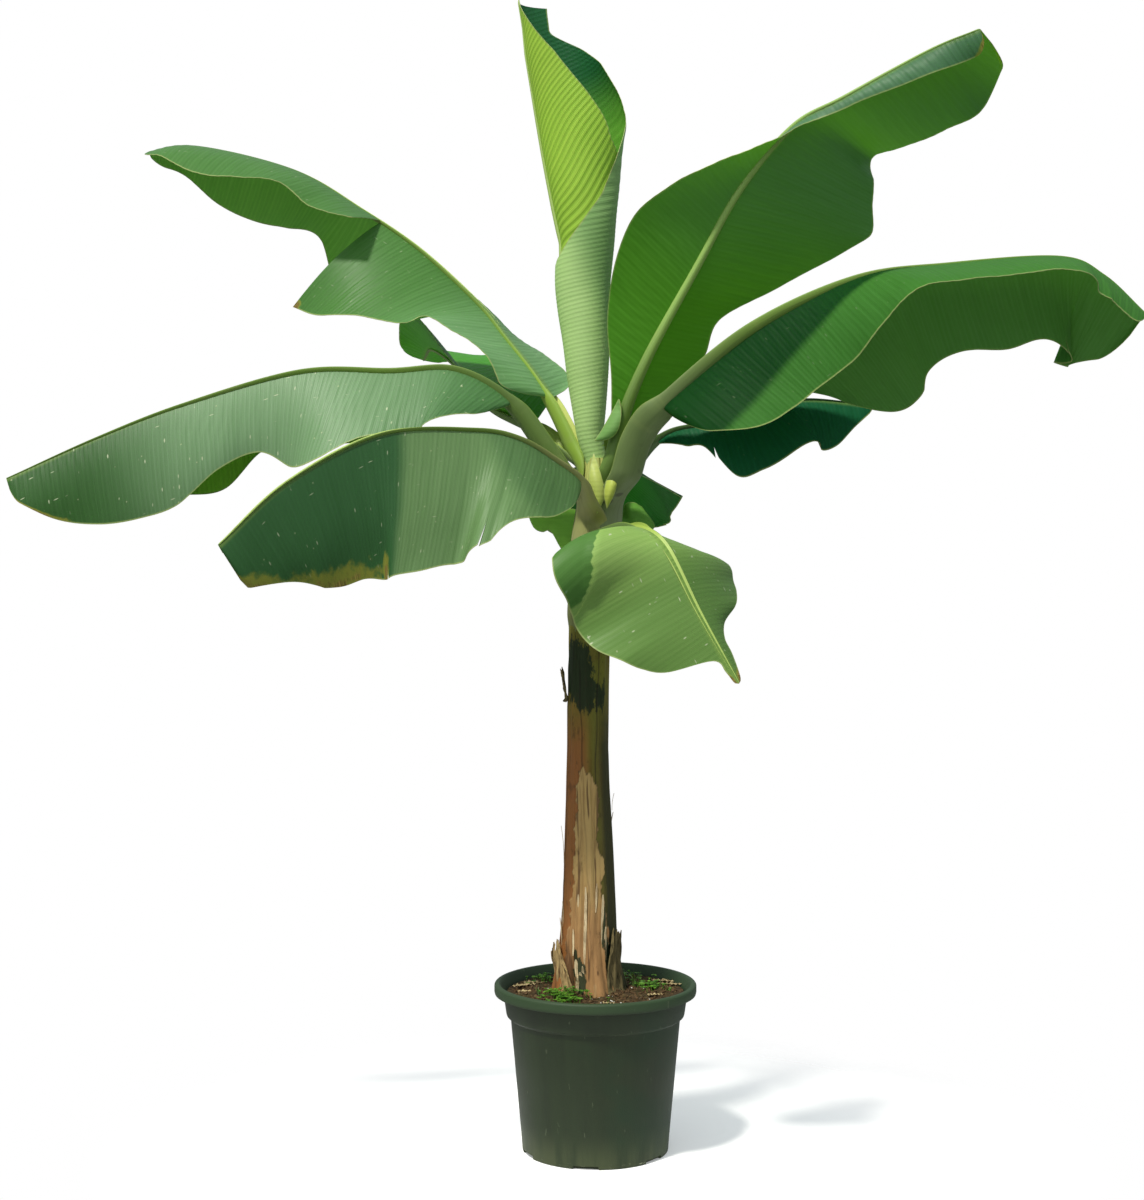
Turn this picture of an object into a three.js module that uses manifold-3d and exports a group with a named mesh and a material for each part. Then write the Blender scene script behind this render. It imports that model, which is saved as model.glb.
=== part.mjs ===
// A young banana plant in a round nursery pot: pot, compost, pseudostem with dry sheath scraps,
// ten open leaves on their petioles and one half-furled leaf in the middle of the crown.
// Millimetres. X to the right, Y away from the front, Z up; the origin is the centre of the
// pot's flat underside.
import * as THREE from "three";
import Module from "manifold-3d";

const wasm = await Module();
wasm.setup();

const GAP = 0.3; // clearance between neighbouring bodies
const SPLIT_GAP = 0.6; // clearance where a long blade is parted at its bend
const STEM_CLEAR = 0.35; // how far a petiole stays off the body that it springs from
const THICKNESS_RATIO = 0.0102; // blade thickness as a share of the leaf's whole length

// ---------------------------------------------------------------- pot and compost
const POT = {
  height: 316,
  rimRadius: 190,
  lipHeight: 21,
  bandHeight: 41,
  bandTop: 173,
  bandFoot: 167.5,
  bodyTop: 160,
  bodyFoot: 137.5,
  wall: 5,
  floor: 6,
  segments: 40,
  notchWidth: 47,
  notchHeight: 7,
  notchCount: 6,
};
const SOIL = { crown: 303, shoulder: 300, plateauRadius: 72, shoulderRadius: 120 };

// ---------------------------------------------------------------- pseudostem
// height, sideways offset of the centre, radius
const STEM = [
  [SOIL.crown + GAP, -10, 62],
  [325, -11, 58],
  [350, -13, 55],
  [390, -13, 52],
  [470, -11, 48],
  [560, -12, 45],
  [700, -14, 40],
  [760, -14, 38],
  [870, -14, 38],
  [960, -13, 39],
  [1040, -9, 40],
  [1110, -5, 42],
  [1160, 2, 43],
  [1205, 7, 40],
  [1260, 6, 33],
  [1300, 4, 25],
];
const STEM_SEGMENTS = 20;
const FURLED_BASE = 1300.4; // where the furled leaf starts, on the top of the stem

// Scraps of old sheath that stand off the stem: heights, angles round it, outward lean
const SCRAPS = [
  { name: "sheath_stump", z: [306, 400], from: 165, to: 262, off: [0, 6], thick: 4 },
  { name: "sheath_flap", z: [306, 425], from: -62, to: 8, off: [0, 3], thick: 4 },
  { name: "sheath_tag", z: [850, 905], from: 160, to: 205, off: [0, 6], thick: 3 },
];

// ---------------------------------------------------------------- leaves
// rib: points of the midrib from the stem to the tip; start: share of it that is bare petiole;
// azimuth: heading of the leaf; left/right: for each half the width, and the droop of its root and
// of its edge in degrees, at evenly spaced stations from the blade's base to its tip.
const LEAVES = {
  b: {
    rib: [[23, -30, 1220], [42, -55, 1345], [90, -80, 1473], [181, -105, 1640], [260, -130, 1780],
      [352, -150, 1888], [442, -175, 1935], [585, -205, 2009], [665, -240, 2037]],
    start: 0.11, azimuth: -75, roll: [0, 5, 5, 0, 0], sweep: 0.25,
    right: { width: [20, 46, 90, 122, 136, 110, 70, 40, 25, 25, 40, 48, 43],
      root: [-20, -18, -15, -13, -10, -10, 0, 40, 80, 90, 90, 88, 85],
      edge: [-12, -16, -20, -16, -12, 3, 28, 64, 99, 123, 130, 128, 123] },
    left: { width: [20, 66, 102, 98, 170, 240, 262, 222, 180, 163, 164, 163, 86],
      root: [-10, -10, -10, -10, -7, -3, 0, 0, 0, 0, 0, 0, 0],
      edge: [0, 3, 3, 3, 4, 10, 12, 7, 2, 0, 5, 15, 18] },
  },
  c: {
    rib: [[25, -40, 1190], [42, -64, 1266], [58, -92, 1338], [115, -130, 1402], [270, -190, 1528],
      [450, -230, 1609], [612, -250, 1630], [803, -260, 1641], [880, -265, 1608], [950, -270, 1542]],
    start: 0.2, azimuth: -15, roll: [0, 0], sweep: 0.25, split: 0.45, petiole: [26, 36, 18, 27],
    right: { width: [120, 182, 186, 176, 174, 178, 190, 174, 157, 141, 120, 91, 57],
      root: [30, 47, 60, 62, 55, 33, 14, 12, 13, 12, 12, 12, 15],
      edge: [70, 84, 85, 80, 67, 46, 25, 22, 23, 25, 27, 28, 30] },
    left: { width: [30, 110, 188, 257, 285, 264, 205, 168, 172, 158, 196, 182, 107],
      root: [20, 23, 27, 30, 34, 37, 40, 41, 41, 40, 37, 34, 30],
      edge: [41, 56, 70, 82, 89, 88, 89, 93, 95, 94, 92, 87, 79] },
    tears: [["left", 0.8, 0.16, 0]],
  },
  d: {
    rib: [[20, 0, 1190], [66, -15, 1286], [140, -50, 1352], [280, -66, 1368], [372, -64, 1406],
      [510, -60, 1396]],
    start: 0.3, azimuth: -12, roll: [0, 0], sweep: 0.25,
    right: { width: [20, 48, 50, 110, 102, 92, 98, 102, 86, 46, 8],
      root: [40, 44, 48, 52, 57, 60, 61, 60, 60, 60, 60],
      edge: [61, 70, 77, 83, 86, 88, 90, 90, 89, 85, 81] },
    left: { width: [20, 40, 50, 50, 40, 30, 10], root: [20, 20], edge: [60, 60] },
  },
  e: {
    rib: [[10, -40, 1140], [40, -130, 1170], [85, -220, 1165], [125, -280, 1125],
      [175, -310, 1025], [240, -330, 900]],
    start: 0.38, azimuth: -80, roll: [0, 0], sweep: 0.1,
    right: { width: [215, 225, 212, 205, 195, 158, 68, 22, 8], root: [-20, 5, 5, 5, 5],
      edge: [55, 20, 10, 5, 5] },
    left: { width: [95, 165, 192, 172, 125, 78, 42, 22, 8], root: [20, 25, 30, 30, 20],
      edge: [50, 60, 60, 50, 40] },
  },
  f: {
    rib: [[10, 20, 1168], [17, 80, 1247], [32, 190, 1308], [38, 370, 1297], [50, 560, 1243],
      [60, 730, 1145]],
    start: 0.24, azimuth: 85, roll: [0, 0], sweep: 0.1,
    left: { width: [120, 185, 200, 185, 150, 90, 10], root: [10, 15, 20, 30, 30],
      edge: [30, 40, 50, 60, 60] },
    right: { width: [160, 164, 160, 152, 110, 59, 10], root: [24, 26, 26, 27, 29, 30, 30],
      edge: [36, 46, 53, 56, 59, 60, 61] },
  },
  g: {
    rib: [[-10, -50, 1174], [-26, -110, 1252], [-75, -160, 1294], [-140, -210, 1331],
      [-218, -250, 1344], [-372, -330, 1332], [-524, -390, 1248], [-634, -420, 1142]],
    start: 0.12, azimuth: 222, roll: [0, 0], sweep: 0.25, split: 0.48,
    left: { width: [86, 155, 196, 250, 247, 254, 250, 240, 218, 205, 170, 122, 75],
      root: [40, 47, 54, 60, 64, 68, 70, 71, 71, 70, 67, 64, 60],
      edge: [59, 70, 75, 79, 86, 89, 90, 90, 90, 89, 88, 88, 89] },
    right: { width: [30, 110, 150, 180, 190, 170, 140, 90, 30], root: [30, 40, 40, 40, 40],
      edge: [60, 80, 90, 90, 80] },
    tears: [["left", 0.22, 0.4, 6]],
  },
  h: {
    rib: [[-8, -20, 1200], [-82, -45, 1315], [-157, -60, 1411], [-257, -70, 1464],
      [-376, -80, 1460], [-540, -90, 1457], [-750, -100, 1396], [-908, -105, 1334],
      [-1070, -110, 1260]],
    start: 0.2, azimuth: 187, roll: [0, 0], sweep: 0.25, split: 0.42, petiole: [22, 28, 15, 20],
    left: { width: [85, 140, 165, 154, 196, 184, 135, 142, 180, 176, 155, 112, 36],
      root: [30, 37, 44, 50, 54, 58, 60, 61, 60, 60, 60, 60, 60],
      edge: [59, 66, 64, 57, 68, 86, 88, 86, 89, 89, 89, 87, 85] },
    right: { width: [38, 84, 124, 149, 158, 149, 136, 182, 168, 141, 111, 76, 35],
      root: [20, 27, 34, 40, 44, 48, 50, 51, 50, 50, 50, 50, 50],
      edge: [60, 67, 74, 80, 84, 87, 90, 93, 92, 90, 87, 84, 80] },
  },
  i: {
    rib: [[5, 5, 1241], [-81, 45, 1416], [-169, 90, 1536], [-222, 120, 1602],
      [-335, 150, 1708], [-450, 180, 1789], [-584, 200, 1868], [-775, 215, 1917],
      [-875, 225, 1907]],
    start: 0.165, azimuth: 165, roll: [0, 0], sweep: 0.15, split: 0.5,
    left: { width: [112, 124, 154, 189, 212, 243, 248], root: [10, 15, 22, 28, 34, 40, 45],
      edge: [38, 14, 21, 43, 62, 83, 95], upTo: 0.5 },
    right: { width: [91, 111, 125, 148, 173, 203, 225, 116, 129, 136, 118, 69, 23],
      root: [-15, -10, -5, 0, 10, 20, 30, 35, 40, 40, 40, 40, 40],
      edge: [-36, -11, 12, 28, 42, 64, 86, 94, 90, 87, 85, 83, 80] },
    outer: { left: { width: [109, 127, 121, 141, 145, 112, 54], root: [5, 5],
      edge: [16, 36, 26, 38, 48, 42, 28] } },
  },
  j: {
    rib: [[-20, 15, 1265], [-94, 70, 1351], [-200, 170, 1407], [-266, 320, 1488],
      [-335, 480, 1543], [-365, 630, 1532]],
    petiole: [22, 28, 16, 18],
    start: 0.2, azimuth: 122, roll: [0, 0], sweep: 0.25,
    left: { width: [28, 80, 124, 150, 151, 128, 91, 67, 39],
      root: [-40, -40, -40, -40, -40, -41, -40, -36, -30],
      edge: [-48, -43, -42, -42, -42, -41, -39, -31, -19] },
    right: { width: [20, 100, 150, 160, 130, 90, 20], root: [0, 10, 20, 20, 20],
      edge: [20, 40, 60, 60, 60] },
  },
};
LEAVES.k = {
  rib: [[10, 15, 1250], [50, 60, 1400], [120, 150, 1560], [210, 270, 1690], [300, 390, 1770],
    [390, 510, 1800], [470, 610, 1785]],
  start: 0.2, azimuth: 52, roll: [0, 0], sweep: 0.25,
  left: { width: [40, 95, 115, 115, 100, 60, 15], root: [0, 10, 20, 30, 30],
    edge: [10, 30, 50, 60, 60] },
  right: { width: [40, 95, 115, 115, 100, 60, 15], root: [0, 10, 20, 30, 30],
    edge: [10, 30, 50, 60, 60] },
};
// petioles are fitted in this order, each one cut clear of the stem and of those before it
const PETIOLE_ORDER = ["c", "b", "g", "h", "i", "e", "f", "j", "d", "k"];
const COLUMNS = [0.3, 0.65, 1]; // shares of each half's width that carry a column of points
const MID_CLEAR = 1.5; // least distance of a blade's underside from the plane of its midrib
// half-width and half-depth of a petiole's section at its foot, then at the blade
const PETIOLE = { section: [23, 24, 15, 14], rings: 9 };
const RIB_RADIUS = [16, 4]; // half-width of the midrib below the blade at its base and at its tip

// ---------------------------------------------------------------- the half-furled leaf
// height, centre x, centre y, half-width, half-depth of the roll
const FURLED = [
  [FURLED_BASE, 4, 0, 19, 19],
  [1345, 0, 0, 22, 22],
  [1408, -12, 0, 29, 27],
  [1501, -13, 0, 37, 33],
  [1672, -18, 0, 49, 36],
  [1871, -23, 0, 72, 46],
  [1930, -25, 0, 86, 48],
  [2030, -33, 0, 98, 52],
  [2140, -42, 0, 106, 56],
];
const FURLED_SEGMENTS = 20;
const FURLED_WALL = 13; // wall of the open funnel at its top
const MOUTH = { height: 2026, fall: 53, rise: 32 }; // its middle and its slopes in degrees
const FURLED_CUP_FLOOR = 1700; // lowest point of the funnel's inside

// ---------------------------------------------------------------- small helpers
const rad = THREE.MathUtils.degToRad;

/** Value at share u of evenly spaced stations, by a uniform Catmull-Rom curve. */
function along(stations, u) {
  const last = stations.length - 1;
  const x = Math.min(Math.max(u, 0), 1) * last;
  const i = Math.min(Math.floor(x), last - 1);
  const f = x - i;
  const at = (k) => {
    if (k < 0) return 2 * stations[0] - stations[1];
    if (k > last) return 2 * stations[last] - stations[last - 1];
    return stations[k];
  };
  const [a, b, c, d] = [at(i - 1), at(i), at(i + 1), at(i + 2)];
  const v0 = (c - a) / 2;
  const v1 = (d - b) / 2;
  return (2 * b - 2 * c + v0 + v1) * f ** 3 + (-3 * b + 3 * c - 2 * v0 - v1) * f ** 2 + v0 * f + b;
}

/** A closed body from rings of equal length; each end is closed by strips across the ring. */
function loft(rings) {
  const n = rings[0].length;
  const points = rings.flat();
  const faces = [];
  for (let r = 0; r + 1 < rings.length; r += 1) {
    for (let k = 0; k < n; k += 1) {
      const a = r * n + k;
      const b = r * n + ((k + 1) % n);
      faces.push([a, b, b + n], [a, b + n, a + n]);
    }
  }
  const end = (base, flip) => {
    for (let k = 0; k < n / 2 - 1; k += 1) {
      const [a, b] = [base + k, base + k + 1];
      const [c, d] = [base + n - 2 - k, base + n - 1 - k];
      const strip = [[a, c, b], [a, d, c]];
      for (const t of strip) {
        if (new Set(t).size === 3) faces.push(flip ? [t[0], t[2], t[1]] : t);
      }
    }
  };
  end(0, false);
  end((rings.length - 1) * n, true);
  return { points, faces };
}

/** Signed volume of a triangle mesh. */
function volumeOf({ points, faces }) {
  let six = 0;
  for (const [a, b, c] of faces) {
    six += points[a].dot(new THREE.Vector3().crossVectors(points[b], points[c]));
  }
  return six / 6;
}

/** Turns a body's faces outward when they face in. */
function facedOut(body) {
  if (volumeOf(body) < 0) body.faces = body.faces.map(([a, b, c]) => [a, c, b]);
  return body;
}

function toManifold({ points, faces }) {
  return new wasm.Manifold(new wasm.Mesh({
    numProp: 3,
    vertProperties: new Float32Array(points.flatMap((p) => [p.x, p.y, p.z])),
    triVerts: new Uint32Array(faces.flat()),
  }));
}

function geometryOf(solid) {
  const mesh = solid.getMesh();
  const geometry = new THREE.BufferGeometry();
  geometry.setAttribute("position", new THREE.BufferAttribute(mesh.vertProperties, 3));
  geometry.setIndex(new THREE.BufferAttribute(mesh.triVerts, 1));
  return geometry;
}

/** The biggest of the separate pieces that a cut leaves. */
function biggest(solid) {
  const parts = solid.decompose();
  return parts.reduce((best, part) => (part.volume() > best.volume() ? part : best));
}

const finish = (colour, roughness) => new THREE.MeshStandardMaterial({ color: colour, roughness });

function namedMesh(name, solid, material) {
  const mesh = new THREE.Mesh(geometryOf(solid), material);
  mesh.name = name;
  return mesh;
}

// ---------------------------------------------------------------- pot and compost
/** A body of revolution about Z from a closed outline of [radius, height]; radius 0 ends it. */
function turned(outline, segments) {
  const points = [];
  const rows = outline.map(([radius, z]) => {
    if (radius === 0) {
      points.push(new THREE.Vector3(0, 0, z));
      return Array(segments).fill(points.length - 1);
    }
    return Array.from({ length: segments }, (_, k) => {
      const angle = (2 * Math.PI * k) / segments;
      points.push(new THREE.Vector3(radius * Math.cos(angle), radius * Math.sin(angle), z));
      return points.length - 1;
    });
  });
  const faces = [];
  for (let r = 0; r + 1 < rows.length; r += 1) {
    for (let k = 0; k < segments; k += 1) {
      const next = (k + 1) % segments;
      const [a, b, c, d] = [rows[r][k], rows[r][next], rows[r + 1][next], rows[r + 1][k]];
      if (new Set([a, b, c]).size === 3) faces.push([a, b, c]);
      if (new Set([a, c, d]).size === 3) faces.push([a, c, d]);
    }
  }
  return toManifold(facedOut({ points, faces }));
}

/** The pot's inside, as [radius, height] from the lip down to the floor, drawn in by a margin. */
function potInside(margin) {
  const lipFoot = POT.height - POT.lipHeight;
  const bandFoot = lipFoot - POT.bandHeight;
  return [
    [POT.bandTop - POT.wall - margin, lipFoot],
    [POT.bandFoot - POT.wall - margin, bandFoot + 7],
    [POT.bodyTop - POT.wall - margin, bandFoot - 2],
    [POT.bodyFoot - POT.wall - margin, POT.floor + margin],
  ];
}

function potSolid() {
  const lipFoot = POT.height - POT.lipHeight;
  const bandFoot = lipFoot - POT.bandHeight;
  const outline = [
    [0, 0],
    [POT.bodyFoot - 3, 0],
    [POT.bodyFoot, 3],
    [POT.bodyTop, bandFoot],
    [POT.bandFoot, bandFoot + 3],
    [POT.bandTop, lipFoot],
    [POT.rimRadius - 3, lipFoot + 1],
    [POT.rimRadius, lipFoot + 5],
    [POT.rimRadius, POT.height - 5],
    [POT.rimRadius - 4, POT.height],
    [POT.rimRadius - 10, POT.height],
    ...potInside(0),
    [0, POT.floor],
  ];
  let pot = turned(outline, POT.segments);
  for (let k = 0; k < POT.notchCount; k += 1) {
    const notch = wasm.Manifold.cube([2 * POT.wall, POT.notchWidth, 2 * POT.notchHeight], true)
      .translate([POT.bodyFoot, 0, 0])
      .rotate([0, 0, -98 + (360 * k) / POT.notchCount]);
    pot = pot.subtract(notch);
  }
  return pot;
}

function soilSolid() {
  const outline = [
    [0, POT.floor + GAP],
    ...potInside(GAP).reverse(),
    [SOIL.shoulderRadius, SOIL.shoulder],
    [SOIL.plateauRadius, SOIL.crown],
    [0, SOIL.crown],
  ];
  return turned(outline, POT.segments);
}

// ---------------------------------------------------------------- pseudostem
function stemAt(z) {
  let k = 0;
  while (k + 2 < STEM.length && STEM[k + 1][0] < z) k += 1;
  const f = Math.min(Math.max((z - STEM[k][0]) / (STEM[k + 1][0] - STEM[k][0]), 0), 1);
  const mix = (i) => STEM[k][i] + (STEM[k + 1][i] - STEM[k][i]) * f;
  return { x: mix(1), r: mix(2) };
}

function ringAt(x, y, z, rx, ry, segments) {
  return Array.from({ length: segments }, (_, k) => {
    const angle = (2 * Math.PI * (k + 0.5)) / segments;
    return new THREE.Vector3(x + rx * Math.cos(angle), y + ry * Math.sin(angle), z);
  });
}

function stemBody(grow = 0) {
  const rings = STEM.map(([z, x, r], k) => {
    const lift = k === STEM.length - 1 ? grow : 0;
    return ringAt(x, 0, z + lift, r + grow, r + grow, STEM_SEGMENTS);
  });
  return toManifold(facedOut(loft(rings)));
}

/** A curved scrap of dry sheath standing just off the stem. */
function scrapSolid({ z, from, to, off, thick }) {
  const rows = 5;
  const columns = 7;
  const rings = [];
  for (let r = 0; r <= rows; r += 1) {
    const v = r / rows;
    const height = z[0] + (z[1] - z[0]) * v;
    const { x, r: radius } = stemAt(height);
    const half = ((to - from) / 2) * (1 - 0.45 * v * v);
    const chord = Math.cos(rad(half / (columns - 1)));
    const inner = (radius + STEM_CLEAR) / chord + off[0] + (off[1] - off[0]) * v;
    const arc = (distance, flip) => Array.from({ length: columns }, (_, k) => {
      const share = flip ? 1 - k / (columns - 1) : k / (columns - 1);
      const angle = rad((from + to) / 2 - half + 2 * half * share);
      return new THREE.Vector3(x + distance * Math.cos(angle), distance * Math.sin(angle), height);
    });
    rings.push([...arc(inner + thick, false), ...arc(inner, true)]);
  }
  return toManifold(facedOut(loft(rings)));
}

// ---------------------------------------------------------------- leaves
class Leaf {
  constructor(spec) {
    this.spec = spec;
    const points = spec.rib.map((p) => new THREE.Vector3(...p));
    this.curve = new THREE.CatmullRomCurve3(points, false, "catmullrom", 0.5);
    this.curve.arcLengthDivisions = 400;
    this.length = this.curve.getLength();
    this.thick = this.length * THICKNESS_RATIO;
    const heading = rad(spec.azimuth);
    this.side = new THREE.Vector3(Math.sin(heading), -Math.cos(heading), 0);
  }

  /** Place and axes at share s of the whole rib; u sets the roll. */
  frame(s, u) {
    const at = this.curve.getPointAt(Math.min(Math.max(s, 0), 1));
    const tangent = this.curve.getTangentAt(Math.min(Math.max(s, 0), 1));
    const across = this.side.clone().addScaledVector(tangent, -tangent.dot(this.side)).normalize();
    const normal = new THREE.Vector3().crossVectors(across, tangent);
    const roll = rad(along(this.spec.roll, u));
    const turnedAcross = across.clone().multiplyScalar(Math.cos(roll))
      .addScaledVector(normal, -Math.sin(roll));
    const turnedNormal = across.clone().multiplyScalar(Math.sin(roll))
      .addScaledVector(normal, Math.cos(roll));
    return { at, tangent, across: turnedAcross, normal: turnedNormal };
  }

  /** Midrib half-width at share u of the blade. */
  ribRadius(u) {
    return RIB_RADIUS[0] + (RIB_RADIUS[1] - RIB_RADIUS[0]) * u;
  }

  /** A half's stations and the share along them at share u; past the split they may be others. */
  halfAt(side, u) {
    const { split, outer } = this.spec;
    const past = u > split && outer?.[side];
    const half = past ? outer[side] : this.spec[side];
    const v = past ? (u - split) / (1 - split) : u / (half.upTo ?? 1);
    return { half, v };
  }

  widthAt(side, u) {
    const { half, v } = this.halfAt(side, u);
    return Math.max(along(half.width, v), 3);
  }

  /** Point and upward normal of the blade's middle surface at share u, share t of the half. */
  surface(side, u, t, lift, liftFrom) {
    const { half, v } = this.halfAt(side, u);
    const sign = side === "right" ? 1 : -1;
    const { at, tangent, across, normal } = this.frame(
      this.spec.start + (1 - this.spec.start) * u, u);
    const width = this.widthAt(side, u);
    const root = rad(along(half.root, v));
    let turn = rad(along(half.edge, v)) - root;
    if (Math.abs(turn) < 1e-4) turn = 1e-4;
    const angle = root + turn * t;
    const out = (Math.sin(angle) - Math.sin(root)) / turn;
    const down = -(Math.cos(angle) - Math.cos(root)) / turn;
    const up = across.clone().multiplyScalar(sign * Math.sin(angle))
      .addScaledVector(normal, Math.cos(angle));
    const point = at.clone()
      .addScaledVector(across, sign * width * out)
      .addScaledVector(normal, -width * down)
      .addScaledVector(tangent, width * this.spec.sweep * t)
      .addScaledVector(up, width * Math.max(0, t - liftFrom) * Math.sin(rad(lift)));
    return { point, up, width };
  }

  /** The tear that acts on a half at share u: how far its margin draws in, and the lift past it. */
  tearAt(side, u) {
    const tears = (this.spec.tears ?? []).filter((tear) => tear[0] === side);
    let state = { reach: 1, lift: 0, liftFrom: 0 };
    for (const [, place, depth, lift] of tears) {
      if (Math.abs(u - place) < 1e-6) return { reach: 1 - depth, lift: 0, liftFrom: 1 };
      if (u > place) state = { reach: 1, lift, liftFrom: 1 - depth };
    }
    return state;
  }

  /** One ring of the thickened blade: the upper row from left to right, then the lower row back. */
  ring(u, step = 0) {
    const half = this.thick / 2;
    const { tangent } = this.frame(this.spec.start + (1 - this.spec.start) * u, u);
    const centre = this.surface("left", u, 0, 0, 1);
    const up = centre.up.clone().add(this.surface("right", u, 0, 0, 1).up).normalize();
    const sideways = new THREE.Vector3().crossVectors(tangent, up);
    const mitre = Math.min(1.35, 1 / Math.max(0.3, up.dot(centre.up)));
    const place = (point) => point.addScaledVector(tangent, step);
    const rows = { left: [], right: [] };
    for (const [side, sign] of [["left", -1], ["right", 1]]) {
      const tear = this.tearAt(side, u);
      const { half: stations, v } = this.halfAt(side, u);
      const folded = along(stations.edge, v) > 95;
      for (const share of COLUMNS) {
        const at = this.surface(side, u, share * tear.reach, tear.lift, tear.liftFrom);
        const top = at.point.clone().addScaledVector(at.up, half);
        const foot = at.point.clone().addScaledVector(at.up, -half);
        // a steep half keeps its underside on its own side of the midrib
        const offset = sign * foot.clone().sub(centre.point).dot(sideways);
        if (offset < MID_CLEAR && !(folded && share > COLUMNS[0])) {
          foot.addScaledVector(sideways, sign * (MID_CLEAR - offset));
        }
        rows[side].push({ top: place(top), foot: place(foot) });
      }
    }
    const ridge = place(centre.point.clone().addScaledVector(up, half * mitre));
    const keel = place(centre.point.clone()
      .addScaledVector(up, -half * mitre - this.ribRadius(u)));
    const outward = (list, key) => list.map((entry) => entry[key]);
    return [
      ...outward(rows.left, "top").reverse(), ridge, ...outward(rows.right, "top"),
      ...outward(rows.right, "foot").reverse(), keel, ...outward(rows.left, "foot"),
    ];
  }

  /** Stations of a stretch of the blade, with the three that each tear needs. */
  stations(from, to, count) {
    const list = Array.from({ length: count + 1 }, (_, k) => from + ((to - from) * k) / count);
    for (const [, place] of this.spec.tears ?? []) {
      if (place > from && place < to) list.push(place - 0.012, place, place + 0.012);
    }
    return list.sort((a, b) => a - b).filter((u, k, all) => k === 0 || u - all[k - 1] > 0.004);
  }

  bladeSolid(from, to) {
    const count = Math.max(6, Math.round((to - from) * 16));
    const us = this.stations(from > 0 ? from + 1e-6 : 0, to, count);
    const rings = us.map((u, k) => this.ring(u, k === 0 && from > 0 ? SPLIT_GAP : 0));
    return toManifold(facedOut(loft(rings)));
  }

  /** The petiole: a channelled limb from inside the crown to just short of the blade. */
  petioleSolid(grow = 0) {
    const rings = [];
    const [across, deep, tipAcross, tipDeep] = this.spec.petiole ?? PETIOLE.section;
    for (let k = 0; k <= PETIOLE.rings; k += 1) {
      const v = k / PETIOLE.rings;
      const share = this.spec.start * v - (k === PETIOLE.rings ? GAP / this.length : 0);
      const place = this.frame(share, 0);
      const a = across + (tipAcross - across) * v;
      const b = deep + (tipDeep - deep) * v;
      const section = [
        [-1, 0.42], [-0.55, 0.26], [0, 0.1], [0.55, 0.26], [1, 0.42],
        [0.92, -0.35], [0.5, -0.86], [0, -1], [-0.5, -0.86], [-0.92, -0.35],
      ];
      rings.push(section.map(([x, y]) => place.at.clone()
        .addScaledVector(place.across, a * x + 1.2 * grow * Math.sign(x))
        .addScaledVector(place.normal, b * y + 1.2 * grow * Math.sign(y))));
    }
    return toManifold(facedOut(loft(rings)));
  }
}

// ---------------------------------------------------------------- the half-furled leaf
/** A long roll, slightly flattened, opening at the top into an oblique funnel. */
function furledSolid() {
  const n = FURLED_SEGMENTS;
  const outside = FURLED.map(([z, x, y, rx, ry]) => ringAt(x, y, z, rx, ry, n));
  const roll = toManifold(facedOut(loft(outside)));
  const upper = FURLED.filter(([z]) => z > FURLED_CUP_FLOOR);
  const cup = [
    ringAt(-20, 0, FURLED_CUP_FLOOR, 6, 5, n),
    ...upper.map(([z, x, y, rx, ry]) => ringAt(
      x, y, z + 1, rx - FURLED_WALL, ry - FURLED_WALL, n)),
  ];
  const inside = toManifold(facedOut(loft(cup)));
  // the mouth is cut by a plane that falls to the right and rises to the back
  const mouth = wasm.Manifold.cube([900, 900, 500], true)
    .translate([0, 0, 250])
    .rotate([MOUTH.rise, 0, 0])
    .rotate([0, MOUTH.fall, 0])
    .translate([-30, 0, MOUTH.height]);
  return roll.subtract(inside).subtract(mouth);
}

// ---------------------------------------------------------------- assembly
const plant = new THREE.Group();
plant.name = "potted_banana_plant";

const potFinish = finish(0x3b4a3a, 0.6);
const soilFinish = finish(0x4a3a2a, 1);
const stemFinish = finish(0x7a6b3f, 0.8);
const dryFinish = finish(0x9a7b55, 0.9);
const petioleFinish = finish(0x96ad55, 0.6);
const bladeFinish = finish(0x4e8042, 0.6);

plant.add(namedMesh("pot", potSolid(), potFinish));
plant.add(namedMesh("soil", soilSolid(), soilFinish));
plant.add(namedMesh("pseudostem", stemBody(), stemFinish));
for (const scrap of SCRAPS) plant.add(namedMesh(scrap.name, scrapSolid(scrap), dryFinish));

const furled = furledSolid();
plant.add(namedMesh("furled_leaf", furled, bladeFinish));

const leaves = new Map(Object.entries(LEAVES).map(([key, spec]) => [key, new Leaf(spec)]));
const taken = [stemBody(STEM_CLEAR)];
const grownFurled = toManifold(facedOut(loft(FURLED.slice(0, 6).map(([z, x, y, rx, ry], k) => (
  ringAt(x, y, z - (k === 0 ? GAP : 0), rx + STEM_CLEAR, ry + STEM_CLEAR, FURLED_SEGMENTS))))));
taken.push(grownFurled);
for (const key of PETIOLE_ORDER) {
  const leaf = leaves.get(key);
  let limb = leaf.petioleSolid();
  for (const other of taken) limb = limb.subtract(other);
  limb = biggest(limb);
  taken.push(leaf.petioleSolid(GAP));
  plant.add(namedMesh(`petiole_${key}`, limb, petioleFinish));
}
for (const [key, leaf] of leaves) {
  const parts = leaf.spec.split
    ? [[`blade_${key}_inner`, 0, leaf.spec.split], [`blade_${key}_outer`, leaf.spec.split, 1]]
    : [[`blade_${key}`, 0, 1]];
  let inner = null;
  for (const [name, from, to] of parts) {
    let blade = leaf.bladeSolid(from, to);
    if (inner && leaf.spec.outer) {
      // the halves hang differently past the split, so the outer piece is trimmed by the inner one
      const { tangent } = leaf.frame(leaf.spec.start + (1 - leaf.spec.start) * from, from);
      blade = biggest(blade.subtract(inner.translate(tangent.multiplyScalar(GAP).toArray())));
    }
    inner = blade;
    plant.add(namedMesh(name, blade, bladeFinish));
  }
}

export default plant;
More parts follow.
